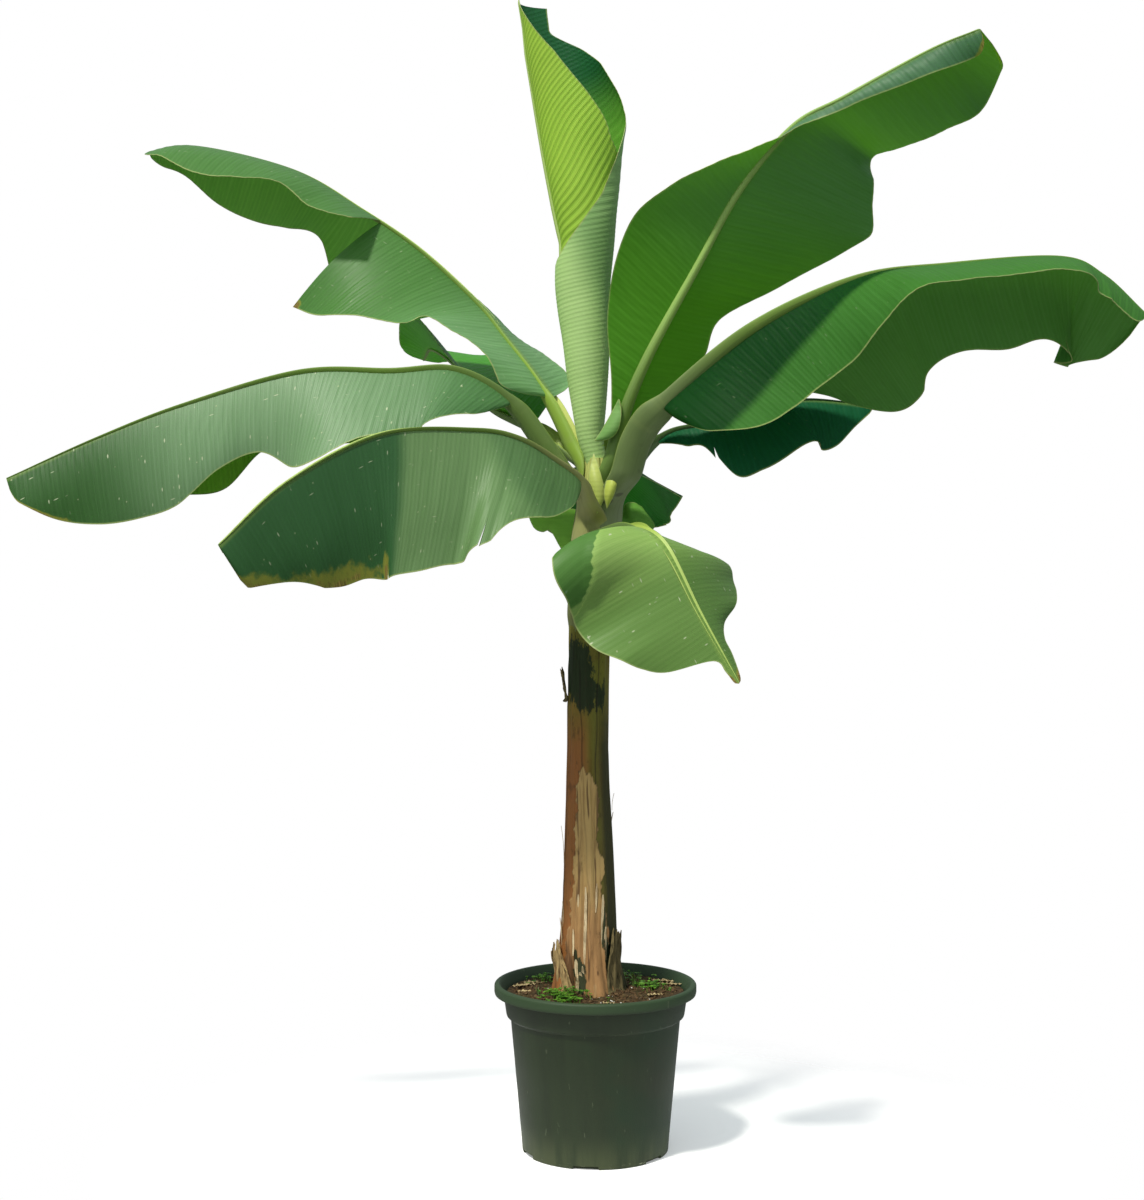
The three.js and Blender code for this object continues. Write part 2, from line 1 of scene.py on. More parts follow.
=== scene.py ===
"""Looks of a young banana plant in a nursery pot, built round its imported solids.

The plant is a pot of compost with weeds and litter, a pseudostem of overlapping sheaths, ten open
leaves on their stalks and one half-furled leaf. Leaf stations are stated in millimetres and degrees
and turned into metres where they are used; everything else is in metres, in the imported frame.
"""

import logging
import math
import random
from dataclasses import dataclass, field
from enum import Enum
from typing import Any, Callable, Sequence
import bmesh
import bpy
import numpy as np
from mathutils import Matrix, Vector


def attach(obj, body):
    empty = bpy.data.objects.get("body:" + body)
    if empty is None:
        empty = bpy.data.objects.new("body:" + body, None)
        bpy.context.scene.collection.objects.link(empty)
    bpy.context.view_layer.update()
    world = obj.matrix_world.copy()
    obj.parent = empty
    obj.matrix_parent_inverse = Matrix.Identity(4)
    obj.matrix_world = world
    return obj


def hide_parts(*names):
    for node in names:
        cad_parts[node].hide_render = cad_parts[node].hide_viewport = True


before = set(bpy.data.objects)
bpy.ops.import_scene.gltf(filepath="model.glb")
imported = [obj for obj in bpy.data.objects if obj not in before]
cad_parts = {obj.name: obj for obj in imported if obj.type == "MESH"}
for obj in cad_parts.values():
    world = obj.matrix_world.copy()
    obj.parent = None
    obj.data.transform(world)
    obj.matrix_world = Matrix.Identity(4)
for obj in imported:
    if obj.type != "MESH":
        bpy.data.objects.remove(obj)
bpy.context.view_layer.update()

BODY = "root"
MM = 0.001
TAU = 2 * math.pi

log = logging.getLogger("banana_plant")

RGB = tuple[float, float, float]
Array = np.ndarray
Piece = bpy.types.Object
Material = bpy.types.Material
Socket = bpy.types.NodeSocket
Patch = tuple[float, float, float]
Shape = tuple[Array, Array]


# ------------------------------------------------------------------ numbers and curves
def paint(red: int, green: int, blue: int) -> RGB:
    """Linear colour of a display colour.

    Args:
        red, green, blue: Display values from 0 to 255.

    Returns:
        The linear colour.
    """
    return tuple(((c / 255 + 0.055) / 1.055) ** 2.4 if c > 10 else c / 3295 for c in (red, green, blue))


def darker(colour: RGB, share: float) -> RGB:
    """The colour with only a share of its light."""
    return tuple(c * share for c in colour)


def smooth(value: Array | float, low: float, high: float) -> Array | float:
    """Smooth step of a value.

    Args:
        value: The value or values.
        low: Where the step starts, at 0.
        high: Where it ends, at 1.

    Returns:
        The share of the step at each value.
    """
    share = np.clip((np.asarray(value, float) - low) / (high - low), 0, 1)
    return share * share * (3 - 2 * share)


def along(stations: Sequence, share: Array | float) -> Array:
    """Smooth value at a share of evenly spaced stations, by a uniform Catmull-Rom curve.

    Args:
        stations: Numbers or points, from the first to the last.
        share: Place along them, from 0 to 1.

    Returns:
        A number or point for each share.
    """
    line = np.asarray(stations, float)
    last = len(line) - 1
    ends = [2 * line[0] - line[1]], [2 * line[-1] - line[-2]]
    line = np.concatenate([ends[0], line, ends[1]])
    x = np.clip(np.atleast_1d(share), 0, 1) * last
    i = np.minimum(x.astype(int), last - 1)
    f = (x - i).reshape(-1, *[1] * (line.ndim - 1))
    a, b, c, d = (line[i + k] for k in range(4))
    v0, v1 = (c - a) / 2, (d - b) / 2
    return (2 * b - 2 * c + v0 + v1) * f**3 + (-3 * b + 3 * c - 2 * v0 - v1) * f**2 + v0 * f + b


def unit(vectors: Array) -> Array:
    """Vectors at length 1."""
    return vectors / np.linalg.norm(vectors, axis=-1, keepdims=True)


def rotation(turn: float, tip: float) -> Array:
    """Matrix for row vectors that tips a shape about Y and then turns it about Z."""
    c, s, d, q = math.cos(turn), math.sin(turn), math.cos(tip), math.sin(tip)
    return np.array([[d, 0, -q], [0, 1, 0], [q, 0, d]]) @ np.array([[c, s, 0], [-s, c, 0], [0, 0, 1]])


def steady(line: Array, width: int) -> Array:
    """Running mean of a line over an odd number of its values."""
    padded = np.pad(line, width // 2, mode="edge")
    return np.convolve(padded, np.ones(width) / width, "valid")


def turn_between(turn: Array, start: float) -> Array:
    """Degrees from one angle to others, from -180 to 180."""
    return (turn - start + 180) % 360 - 180


class Waves:
    """Seeded smooth waves over a surface: a few sines of mixed heading, length and phase."""

    def __init__(self, seed: int, length: float, count: int = 6) -> None:
        """Draws the waves.

        Args:
            seed: Seed of the draw.
            length: Usual wavelength in metres.
            count: How many sines are added.
        """
        draw = random.Random(seed)
        self.terms = []
        for _ in range(count):
            heading = draw.uniform(0, TAU)
            number = TAU / (length * draw.uniform(0.7, 1.5))
            kx, ky = number * math.cos(heading), number * math.sin(heading)
            self.terms.append((kx, ky, draw.uniform(0, TAU)))

    def at(self, x: Array, y: Array) -> Array:
        """Height of the waves, near -1 to 1, at places x, y in metres."""
        total = sum(np.sin(kx * x + ky * y + phase) for kx, ky, phase in self.terms)
        return total / math.sqrt(len(self.terms))


# ------------------------------------------------------------------ shaders
class Value:
    """One number of a shader; Python's operators on it add Math nodes."""

    def __init__(self, shader: "Shader", socket: Socket) -> None:
        """Wraps a socket of a shader."""
        self.shader = shader
        self.socket = socket

    def __add__(self, other: "Value | float") -> "Value":
        """Sum."""
        return self.shader.math("ADD", self, other)

    __radd__ = __add__

    def __sub__(self, other: "Value | float") -> "Value":
        """Difference."""
        return self.shader.math("SUBTRACT", self, other)

    def __rsub__(self, other: float) -> "Value":
        """Difference from a number."""
        return self.shader.math("SUBTRACT", other, self)

    def __mul__(self, other: "Value | float") -> "Value":
        """Product."""
        return self.shader.math("MULTIPLY", self, other)

    __rmul__ = __mul__

    def sine(self) -> "Value":
        """Sine of the value."""
        return self.shader.math("SINE", self)

    def size(self) -> "Value":
        """Absolute value."""
        return self.shader.math("ABSOLUTE", self)

    def step(self, low: float, high: float) -> "Value":
        """Smooth step from 0 at low to 1 at high; a low above high turns it round."""
        flip = low > high
        low, high = min(low, high), max(low, high)
        stepped = self.shader.node(
            "ShaderNodeMapRange",
            {"interpolation_type": "SMOOTHSTEP"},
            {"Value": self, "From Min": low, "From Max": high},
        )
        value = Value(self.shader, stepped.outputs[0])
        return 1 - value if flip else value


class Shader:
    """A material's node tree, or the world's, with short ways to add what it needs."""

    def __init__(self, name: str, store: Any = None) -> None:
        """Makes an empty material, or an empty block of another store.

        Args:
            name: Name of the block.
            store: Blender's store of such blocks, or None for its materials.
        """
        self.block = (bpy.data.materials if store is None else store).new(name)
        self.block.use_nodes = True
        self.tree = self.block.node_tree
        self.tree.nodes.clear()

    def node(self, kind: str, settings: dict[str, Any] | None = None,
             sockets: dict[str | int, Any] | None = None) -> bpy.types.Node:
        """Adds one node.

        Args:
            kind: Blender's name of the node type.
            settings: Its settings, and the stops of a ramp under "stops".
            sockets: Values or links of its inputs, by name or place.

        Returns:
            The node.
        """
        made = self.tree.nodes.new(kind)
        for key, setting in (settings or {}).items():
            if key == "stops":
                self._set_stops(made.color_ramp.elements, setting)
            else:
                setattr(made, key, setting)
        for key, value in (sockets or {}).items():
            self._feed(made.inputs[key], value)
        return made

    @staticmethod
    def _set_stops(elements: Any, stops: Sequence[tuple[float, RGB]]) -> None:
        """Gives a ramp its stops, each a place and a colour."""
        while len(elements) < len(stops):
            elements.new(1.0)
        for element, (place, colour) in zip(elements, stops):
            element.position = place
            element.color = (*colour, 1)

    def _feed(self, socket: Socket, value: Any) -> None:
        """Links or sets one input; a colour is a tuple of three numbers."""
        if isinstance(value, Value):
            value = value.socket
        if isinstance(value, Socket):
            self.tree.links.new(value, socket)
        elif socket.type == "RGBA" and len(value) == 3:
            socket.default_value = (*value, 1)
        else:
            socket.default_value = value

    def math(self, operation: str, *terms: "Value | float") -> Value:
        """Adds a Math node on the terms and returns its result."""
        made = self.node("ShaderNodeMath", {"operation": operation}, dict(enumerate(terms)))
        return Value(self, made.outputs[0])

    def attribute(self, name: str) -> Value:
        """A number that the mesh carries at each point."""
        return Value(self, self.node("ShaderNodeAttribute", {"attribute_name": name}).outputs["Fac"])

    def place(self) -> Socket:
        """Object coordinates, in metres."""
        return self.node("ShaderNodeTexCoord").outputs["Object"]

    def axes(self, vector: Socket) -> list[Value]:
        """The three numbers of a vector."""
        parts = self.node("ShaderNodeSeparateXYZ", None, {0: vector})
        return [Value(self, out) for out in parts.outputs]

    def vector(self, x: Any, y: Any, z: Any = 0.0) -> Socket:
        """A vector of three numbers."""
        return self.node("ShaderNodeCombineXYZ", None, {0: x, 1: y, 2: z}).outputs[0]

    def noise(self, vector: Socket, scale: float, detail: float = 3.0,
              rough: float = 0.5) -> Value:
        """Noise from 0 to 1 at a vector, with a number of swings a metre."""
        made = self.node(
            "ShaderNodeTexNoise", None,
            {"Vector": vector, "Scale": scale, "Detail": detail, "Roughness": rough},
        )
        return Value(self, made.outputs[0])

    def stretched(self, axes: Sequence[Value], swings: Sequence[float], detail: float = 3.0,
                  rough: float = 0.5) -> Value:
        """Noise from 0 to 1 with its own number of swings a metre along each axis."""
        place = self.vector(*(axis * count for axis, count in zip(axes, swings)))
        return self.noise(place, 1.0, detail, rough)

    def blade_place(self) -> list[Value]:
        """Place along and across a blade, in metres."""
        return self.axes(self.node("ShaderNodeUVMap", {"uv_map": "blade"}).outputs[0])[:2]

    def cells(self, vector: Socket, scale: float) -> tuple[Value, Value]:
        """Distance to the middle of the nearest cell, and a number of the cell's own."""
        made = self.node("ShaderNodeTexVoronoi", None, {"Vector": vector, "Scale": scale})
        return Value(self, made.outputs["Distance"]), self.axes(made.outputs["Color"])[0]

    def ramp(self, value: Value, stops: Sequence[tuple[float, RGB]]) -> Socket:
        """Colour of a value on a ramp."""
        return self.node("ShaderNodeValToRGB", {"stops": stops}, {0: value}).outputs[0]

    def mix(self, share: Value | float, first: Any, second: Any,
            blend: str = "MIX") -> Socket:
        """Mixes two colours by a share of the second."""
        made = self.node("ShaderNodeMix", {"data_type": "RGBA", "blend_type": blend},
                         {0: share, 6: first, 7: second})
        return made.outputs[2]

    def bump(self, height: Value, depth: float) -> Socket:
        """Normal of a surface whose relief is height, from 0 to 1, times a depth in metres."""
        made = self.node("ShaderNodeBump", None, {"Height": height, "Distance": depth, "Strength": 1.0})
        return made.outputs[0]

    def surface(self, base: Any, rough: Any, normal: Any = None, gloss: float = 0.5,
                glow: RGB | None = None, glow_share: float = 0.0) -> Material:
        """Finishes the material with a glossy surface, and light through it where it glows.

        Args:
            base: Base colour.
            rough: Roughness.
            normal: Normal, or None for the mesh's own.
            gloss: Specular level.
            glow: Colour of the light that passes through, or None for a surface that none passes.
            glow_share: How much of the surface passes light.

        Returns:
            The material.
        """
        sockets = {"Base Color": base, "Roughness": rough, "Specular IOR Level": gloss}
        if normal is not None:
            sockets["Normal"] = normal
        front = self.node("ShaderNodeBsdfPrincipled", None, sockets).outputs[0]
        if glow is not None:
            through = self.node("ShaderNodeBsdfTranslucent", None, {"Color": glow}).outputs[0]
            front = self.node("ShaderNodeMixShader", None, {0: glow_share, 1: front, 2: through}).outputs[0]
        self.node("ShaderNodeOutputMaterial", None, {"Surface": front})
        return self.block


class Coat:
    """A colour of a shader that is painted over, layer by layer."""

    def __init__(self, shader: Shader, colour: Any) -> None:
        """Starts a coat with its ground colour."""
        self.shader = shader
        self.colour = colour

    def over(self, share: Value | float, colour: Any) -> None:
        """Paints a colour over the coat, by a share."""
        self.colour = self.shader.mix(share, self.colour, colour)

    def tint(self, share: Value | float, colour: RGB) -> None:
        """Multiplies the coat by a colour, by a share."""
        self.colour = self.shader.mix(share, self.colour, colour, "MULTIPLY")


# ------------------------------------------------------------------ finishes
@dataclass(frozen=True)
class LeafTone:
    """Colours of one leaf: both faces, the light through it, and how they change along the blade.

    Near the base the faces turn to the base colours, and near the tip the upper face turns to the old
    one; each reach is a place along the blade, in metres, where that starts and where it is complete,
    and the slant is how much nearer the base the base colours end for each metre away from the midrib.
    In several tones the base colours are painted light: painted shadow, painted sunlight or painted sheen.
    """

    upper: RGB
    under: RGB
    glow: RGB = paint(120, 190, 70)
    glow_share: float = 0.30
    base_tone_and_painted_light: RGB | None = None
    base_tone_reach: tuple[float, float] = (0.35, 0.05)
    shadow_slant: float = 0.0
    base_tone_under: RGB | None = None
    old: RGB | None = None
    old_reach: tuple[float, float] = (0.5, 0.8)
    gloss: float = 0.24
    rough: float = 0.42


RIM_PALE = paint(176, 190, 120)


class LeafFace(Enum):
    """The two faces of a blade."""

    UPPER = "upper"
    UNDER = "under"


@dataclass(frozen=True)
class BladeFinish:
    """Finish of one face of a blade: parallel veins, streaks, a pale margin and dry patches.

    The tints multiply the colour: of streaks, pleats, veins, and of painted shade on stretches and on folded
    parts.
    """

    tone: LeafTone
    face: LeafFace
    pleat: float = 0.0088
    vein: float = 0.0027
    scratches: float = 0.5
    stripe: float = 0.26
    wander: float = 5.0
    streak_tint: RGB = (1.7, 1.45, 1.8)
    pleat_tint: RGB = (1.5, 1.35, 1.6)
    vein_tint: RGB = (0.6, 0.68, 0.6)
    painted_shade_tint: RGB = (0.42, 0.56, 0.50)
    fold_shadow_tint: RGB = (0.30, 0.46, 0.36)
    beside_rib: RGB = paint(140, 170, 82)
    crease: RGB = paint(176, 206, 110)
    scratch: RGB = paint(206, 216, 178)
    fleck: RGB = paint(196, 208, 160)
    yellowing: RGB = paint(150, 150, 60)
    dry_pale: RGB = paint(176, 150, 84)
    dry_dark: RGB = paint(88, 60, 34)

    def material(self, name: str) -> Material:
        """Builds the material.

        Args:
            name: Name of the material.

        Returns:
            The material.
        """
        s = Shader(name)
        x, y = s.blade_place()
        streaks = s.stretched((x, y), (170, 5), 3, 0.6)
        fine = s.stretched((x, y), (900, 12), 2)
        clouds = s.noise(s.vector(x, y), 9.0, 3)
        wander = s.stretched((x, y), (3, 9), 1) * self.wander
        pleats = (x * (TAU / self.pleat) + wander).sine() * 0.5 + 0.5
        veins = (x * (TAU / self.vein) + wander).sine() * 0.5 + 0.5
        coat = Coat(s, self._along_blade(s, x, y, wander))
        coat.tint(streaks * 0.8 + clouds * 0.35 - 0.22, self.streak_tint)
        coat.tint(pleats.step(0.4, 1.0) * self.stripe, self.pleat_tint)
        coat.tint(veins.step(0.6, 1.0) * 0.2, self.vein_tint)
        coat.over(y.size().step(0.011, 0.003) * 0.5, self.beside_rib)
        if self.face is LeafFace.UPPER and self.scratches:
            self._scratch(coat, x, y)
        self._mark(coat, s.noise(s.vector(x, y), 48.0, 4, 0.6), fine)
        relief = s.bump(pleats * 0.55 + veins * 0.2 + fine * 0.25, 0.0002 + 0.0012 * self.stripe)
        tone = self.tone
        rough = tone.rough + streaks * 0.16 - 0.08
        return s.surface(coat.colour, rough, relief, tone.gloss, tone.glow, tone.glow_share)

    def _along_blade(self, s: Shader, x: Value, y: Value, wander: Value) -> Any:
        """Colour of the face from its base colours, which in several tones are painted light, to its old tip.

        Args:
            s: Shader that the finish is built in.
            x, y: Place along and across the blade.
            wander: Slow noise that keeps the borders from being straight.

        Returns:
            The colour.
        """
        tone, above = self.tone, self.face is LeafFace.UPPER
        colour, base_tone_and_painted_light = (tone.upper, tone.base_tone_and_painted_light) if above else (tone.under, tone.base_tone_under)
        if base_tone_and_painted_light:
            place = x + y.size() * tone.shadow_slant + wander * 0.004
            colour = s.mix(place.step(*tone.base_tone_reach), colour, base_tone_and_painted_light)
        if tone.old and above:
            colour = s.mix((x + wander * 0.01).step(*tone.old_reach), colour, tone.old)
        return colour

    def _scratch(self, coat: "Coat", x: Value, y: Value) -> None:
        """Adds short pale scratches and small flecks.

        Args:
            coat: Coat that they are added to.
            x, y: Place along and across the blade.
        """
        s = coat.shader
        for seed, (long, wide), most in ((3.1, (48.0, 260.0), 0.03), (7.7, (170.0, 60.0), 0.05)):
            spot, own = s.cells(s.vector(x * long + seed, y * wide), 1.0)
            chosen = own.step(1 - most, 1 - most + 0.01)
            coat.over(spot.step(0.30, 0.12) * chosen * self.scratches, self.scratch)
        spot, own = s.cells(s.vector(x, y), 75.0)
        coat.over(spot.step(0.16, 0.06) * own.step(0.86, 0.9) * self.scratches * 0.8, self.fleck)

    def _mark(self, coat: "Coat", clouds: Value, fine: Value) -> None:
        """Adds what the mesh marks: painted shade on stretches and past folds, the margin's pale line and dry
        patches.

        Args:
            coat: Coat that they are added to.
            clouds, fine: Patchy and fine noise.
        """
        s = coat.shader
        # Painted shade on the stretches that the mesh marks.
        coat.tint(s.attribute("painted_shade"), self.painted_shade_tint)
        # Painted shadow on the part past a fold, and a pale line along its crease.
        past_fold = s.attribute("shade")
        coat.tint(past_fold.step(0.016, 0.024), self.fold_shadow_tint)
        coat.over(past_fold.step(0.0005, 0.003) * past_fold.step(0.007, 0.004) * 0.5, self.crease)
        coat.over(s.attribute("edge").step(0.0034, 0.0012) * 0.75, RIM_PALE)
        dry = s.attribute("dry") * 1.35 + clouds * 0.9 - 0.75
        coat.over(dry.step(0.05, 0.35) * 0.85, self.yellowing)
        coat.over(dry.step(0.38, 0.6) * 0.9, s.mix(fine.step(0.4, 0.6), self.dry_dark, self.dry_pale))


@dataclass(frozen=True)
class RimFinish:
    """Finish of the cut edge of a blade."""

    colour: RGB = RIM_PALE
    spot: RGB = paint(120, 110, 60)

    def material(self, name: str) -> Material:
        """Builds the material under a name."""
        s = Shader(name)
        spots = s.noise(s.place(), 60.0, 2)
        base = s.mix(spots.step(0.5, 0.7), self.colour, self.spot)
        return s.surface(base, 0.6, s.bump(spots, 0.0003))


@dataclass(frozen=True)
class StalkFinish:
    """Finish of a petiole and its midrib: fleshy green, waxy, with fine lengthwise lines."""

    petiole: RGB = paint(92, 118, 52)
    channel: RGB = paint(150, 172, 72)
    rib: RGB = paint(168, 192, 98)
    keel: RGB = paint(112, 144, 56)
    foot: RGB = paint(108, 108, 62)
    cloud: RGB = paint(140, 154, 88)
    spot: RGB = paint(46, 38, 24)
    spots: float = 0.5

    def material(self, name: str) -> Material:
        """Builds the material under a name."""
        s = Shader(name)
        span = s.attribute("span")
        x, y = s.blade_place()
        lines = s.stretched((x, y), (5, 260), 3, 0.6)
        clouds = s.noise(s.vector(x, y), 26.0, 3)
        outside = s.mix(span.step(0.02, 0.25), self.petiole, self.keel)
        inside = s.mix(span.step(-0.02, 0.08), self.channel, self.rib)
        coat = Coat(s, s.mix(s.attribute("inner"), outside, inside))
        coat.over(span.step(-0.10, -0.24) * (0.55 + clouds * 0.4), self.foot)
        coat.over(lines.step(0.45, 0.8) * 0.35, darker(self.petiole, 0.55))
        coat.over(clouds.step(0.55, 0.72) * 0.25, self.cloud)
        blot, own = s.cells(s.vector(x, y), 55.0)
        spots = blot.step(0.42, 0.2) * own.step(0.8, 0.86) * span.step(-0.04, -0.16)
        coat.over(spots * self.spots, self.spot)
        return s.surface(coat.colour, 0.45 + lines * 0.15, s.bump(lines, 0.0006), 0.45)


@dataclass(frozen=True)
class StemFinish:
    """Finish of the pseudostem: green and spotted above, dry brown below, blackened in patches that are
    partly painted shadow at the front, with painted shade down its right side.
    """

    green: RGB = paint(110, 124, 60)
    olive: RGB = paint(112, 112, 38)
    dark: RGB = paint(25, 44, 22)
    tan: RGB = paint(186, 155, 98)
    umber: RGB = paint(150, 108, 68)
    rust: RGB = paint(148, 90, 48)
    drab: RGB = paint(104, 82, 34)
    shaded: RGB = paint(84, 72, 36)
    deepest_side_shade: RGB = paint(30, 40, 24)
    crown: RGB = paint(178, 184, 104)
    fibre: RGB = paint(104, 74, 44)
    bleached: RGB = paint(186, 160, 112)
    crack: RGB = paint(74, 48, 28)
    ridge: RGB = paint(184, 154, 106)
    freckle: RGB = paint(58, 46, 22)
    blot: RGB = paint(62, 48, 26)
    seam: RGB = paint(34, 28, 16)

    def material(self, name: str) -> Material:
        """Builds the material under a name."""
        s = Shader(name)
        place = s.place()
        axes = s.axes(place)
        z = axes[2]
        fibres = s.stretched(axes, (150, 150, 7), 4, 0.6)
        fine = s.stretched(axes, (640, 640, 20), 3, 0.6)
        clouds = s.noise(place, 22.0, 4, 0.6)
        coat = Coat(s, s.mix((z + clouds * 0.12).step(1.02, 1.16), self.olive, self.green))
        coat.over(clouds.step(0.4, 0.7) * 0.5, self.drab)
        coat.over((z + clouds * 0.05).step(1.19, 1.24) * 0.9, self.crown)
        low = (z + clouds * 0.2).step(1.0, 0.84)
        painted_side_shade = s.attribute("painted_side_shade")
        coat.over(low * s.attribute("rust") * 0.85, self.rust)
        # Painted shade down the right side of the lower stem, darkest at the far right.
        coat.over(low * painted_side_shade * 0.75, self.shaded)
        coat.over(painted_side_shade.step(0.90, 1.0) * low * 0.7, self.deepest_side_shade)
        panel = s.attribute("panel")
        self._peel(coat, panel, axes, clouds, (fibres, fine))
        grain = s.stretched(axes, (130, 130, 48), 5, 0.68)
        # Blackened patches; the large front ones are partly painted shadow.
        black = s.attribute("blotch_and_shadow") * 1.1 + grain * 1.5 - 1.25
        coat.over(black.step(0.0, 0.16) * 0.94, self.dark)
        coat.over(grain.step(0.55, 0.72) * (1 - panel) * 0.55, self.freckle)
        coat.over(s.stretched(axes, (34, 34, 17), 4, 0.62).step(0.62, 0.72) * 0.5, self.blot)
        coat.over(s.attribute("seam") * 0.75, self.seam)
        relief = s.bump(fibres * 0.5 + fine * 0.3 + clouds * 0.2, 0.0022)
        return s.surface(coat.colour, 0.6 + fibres * 0.25, relief, 0.3)

    def _peel(self, coat: "Coat", panel: Value, axes: Sequence[Value], clouds: Value,
              grains: tuple[Value, Value]) -> None:
        """Adds the bare panel where the outer sheaths have peeled, with its fibres and cracks.

        Args:
            coat: Coat that it is added to.
            panel: Share of the panel at each place.
            axes: The place.
            clouds: Patchy noise.
            grains: Noise of the fibres and of the finer ones.
        """
        fibres, fine = grains
        foot = (axes[2] + clouds * 0.10).step(0.60, 0.46)
        coat.over(panel * (0.75 + clouds * 0.35), self.tan)
        coat.over(panel * foot * 0.8, self.umber)
        coat.over(fibres.step(0.5, 0.75) * panel * 0.55, self.fibre)
        coat.over(fine.step(0.62, 0.8) * panel * 0.5, self.bleached)
        cracks = coat.shader.stretched(axes, (75, 75, 4.5), 3, 0.55)
        coat.over(cracks.step(0.58, 0.64) * panel * 0.75, self.crack)
        coat.over(cracks.step(0.40, 0.34) * panel * 0.4, self.ridge)


@dataclass(frozen=True)
class DryFinish:
    """Finish of dead sheath and litter: papery tan with dark lengthwise fibres."""

    pale: RGB = paint(178, 152, 104)
    dark: RGB = paint(84, 60, 38)

    def material(self, name: str) -> Material:
        """Builds the material under a name."""
        s = Shader(name)
        place = s.place()
        fibres = s.stretched(s.axes(place), (260, 260, 26), 4, 0.65)
        coat = Coat(s, s.mix(fibres.step(0.42, 0.7), self.pale, self.dark))
        coat.over(s.noise(place, 38.0, 3).step(0.5, 0.75) * 0.5, darker(self.dark, 0.5))
        return s.surface(coat.colour, 0.85, s.bump(fibres, 0.0016), 0.2)


@dataclass(frozen=True)
class PotFinish:
    """Finish of the pot: dull moulded plastic, bluish and lighter at the lip as a painted sheen, scuffed at
    the foot.
    """

    body: RGB = paint(30, 42, 20)
    cool: RGB = paint(22, 44, 24)
    lip: RGB = paint(50, 70, 44)
    splash: RGB = paint(84, 92, 58)
    dust: RGB = paint(150, 156, 128)
    mark: RGB = paint(110, 118, 92)
    height: float = 0.316

    def material(self, name: str) -> Material:
        """Builds the material under a name."""
        s = Shader(name)
        place = s.place()
        axes = x, _, z = s.axes(place)
        runs = s.stretched(axes, (30, 30, 3), 4, 0.55)
        clouds = s.noise(place, 9.0, 3)
        coat = Coat(s, s.mix(runs.step(0.35, 0.7), self.body, darker(self.body, 0.78)))
        coat.over((clouds + x * 2.2).step(0.55, 0.85) * 0.7, self.cool)
        # Painted sheen: the lip lighter and bluish.
        coat.over(z.step(self.height - 0.024, self.height - 0.012) * 0.75, self.lip)
        coat.over(z.step(0.075, 0.0) * runs.step(0.3, 0.6) * 0.35, self.splash)
        dust = s.stretched(axes, (60, 60, 240), 4, 0.65)
        scuff = dust.step(0.6, 0.7) * z.step(0.012, 0.003)
        coat.over(scuff * 0.8, self.dust)
        marks = s.stretched(axes, (90, 90, 22), 3, 0.6)
        coat.over(marks.step(0.68, 0.74) * 0.22, self.mark)
        relief = s.bump(s.noise(place, 420.0, 3) * 0.5 + marks * 0.5, 0.0004)
        return s.surface(coat.colour, 0.5 + clouds * 0.2 + scuff * 0.2, relief, 0.3)


@dataclass(frozen=True)
class SoilFinish:
    """Finish of the compost: dark brown bark and peat with paler crumbs."""

    crumb_stops: tuple = ((0.3, paint(30, 22, 14)), (0.5, paint(66, 50, 32)), (0.72, paint(112, 90, 60)))
    moss: RGB = paint(62, 62, 30)
    chip: RGB = paint(132, 110, 78)

    def material(self, name: str) -> Material:
        """Builds the material under a name."""
        s = Shader(name)
        place = s.place()
        crumbs = s.noise(place, 110.0, 6, 0.7)
        coat = Coat(s, s.ramp(crumbs, self.crumb_stops))
        coat.over(s.noise(place, 22.0, 4).step(0.45, 0.7) * 0.5, self.moss)
        coat.over(s.cells(place, 190.0)[1].step(0.9, 0.95) * 0.5, self.chip)
        return s.surface(coat.colour, 0.95, s.bump(crumbs, 0.006), 0.2)


@dataclass(frozen=True)
class PlainFinish:
    """Finish of small things: one colour that varies a little from place to place."""

    colour: RGB
    second: RGB
    rough: float = 0.6
    glow: RGB | None = None

    def material(self, name: str) -> Material:
        """Builds the material under a name."""
        s = Shader(name)
        spots = s.noise(s.place(), 90.0, 3)
        base = s.mix(spots.step(0.35, 0.65), self.colour, self.second)
        return s.surface(base, self.rough, s.bump(spots, 0.0006), 0.35, self.glow, 0.3)


# ------------------------------------------------------------------ meshes
def deselect() -> None:
    """Leaves edit mode and deselects everything."""
    if bpy.context.object and bpy.context.object.mode != "OBJECT":
        bpy.ops.object.mode_set(mode="OBJECT")
    bpy.ops.object.select_all(action="DESELECT")


def activate(piece: Piece) -> None:
    """Makes a piece the only selected object, and the active one."""
    deselect()
    piece.select_set(True)
    bpy.context.view_layer.objects.active = piece


def mesh_piece(name: str, points: Array, faces: Sequence, numbers: dict[str, Array] | None = None,
               uv: Array | None = None, weld: float = 0.0) -> Piece:
    """Makes a piece from arrays.

    Args:
        name: Name of the piece.
        points: Its points, in a row or in a grid.
        faces: Its faces, as rows of point numbers.
        numbers: Named numbers that each point carries.
        uv: Place of each point on the map named "blade".
        weld: Points closer than this are merged.

    Returns:
        The piece.
    """
    mesh = bpy.data.meshes.new(name)
    corners = faces.tolist() if isinstance(faces, np.ndarray) else faces
    mesh.from_pydata(np.reshape(points, (-1, 3)).tolist(), [], corners)
    for key, values in (numbers or {}).items():
        layer = mesh.attributes.new(key, "FLOAT", "POINT")
        layer.data.foreach_set("value", np.asarray(values, np.float32).ravel())
    if uv is not None:
        corners = np.zeros(len(mesh.loops), np.int32)
        mesh.loops.foreach_get("vertex_index", corners)
        layer = mesh.uv_layers.new(name="blade")
        places = np.asarray(uv, np.float32).reshape(-1, 2)[corners]
        layer.data.foreach_set("uv", places.ravel())
    if weld:
        shape = bmesh.new()
        shape.from_mesh(mesh)
        bmesh.ops.remove_doubles(shape, verts=shape.verts, dist=weld)
        shape.to_mesh(mesh)
        shape.free()
    piece = bpy.data.objects.new(name, mesh)
    bpy.context.scene.collection.objects.link(piece)
    return piece


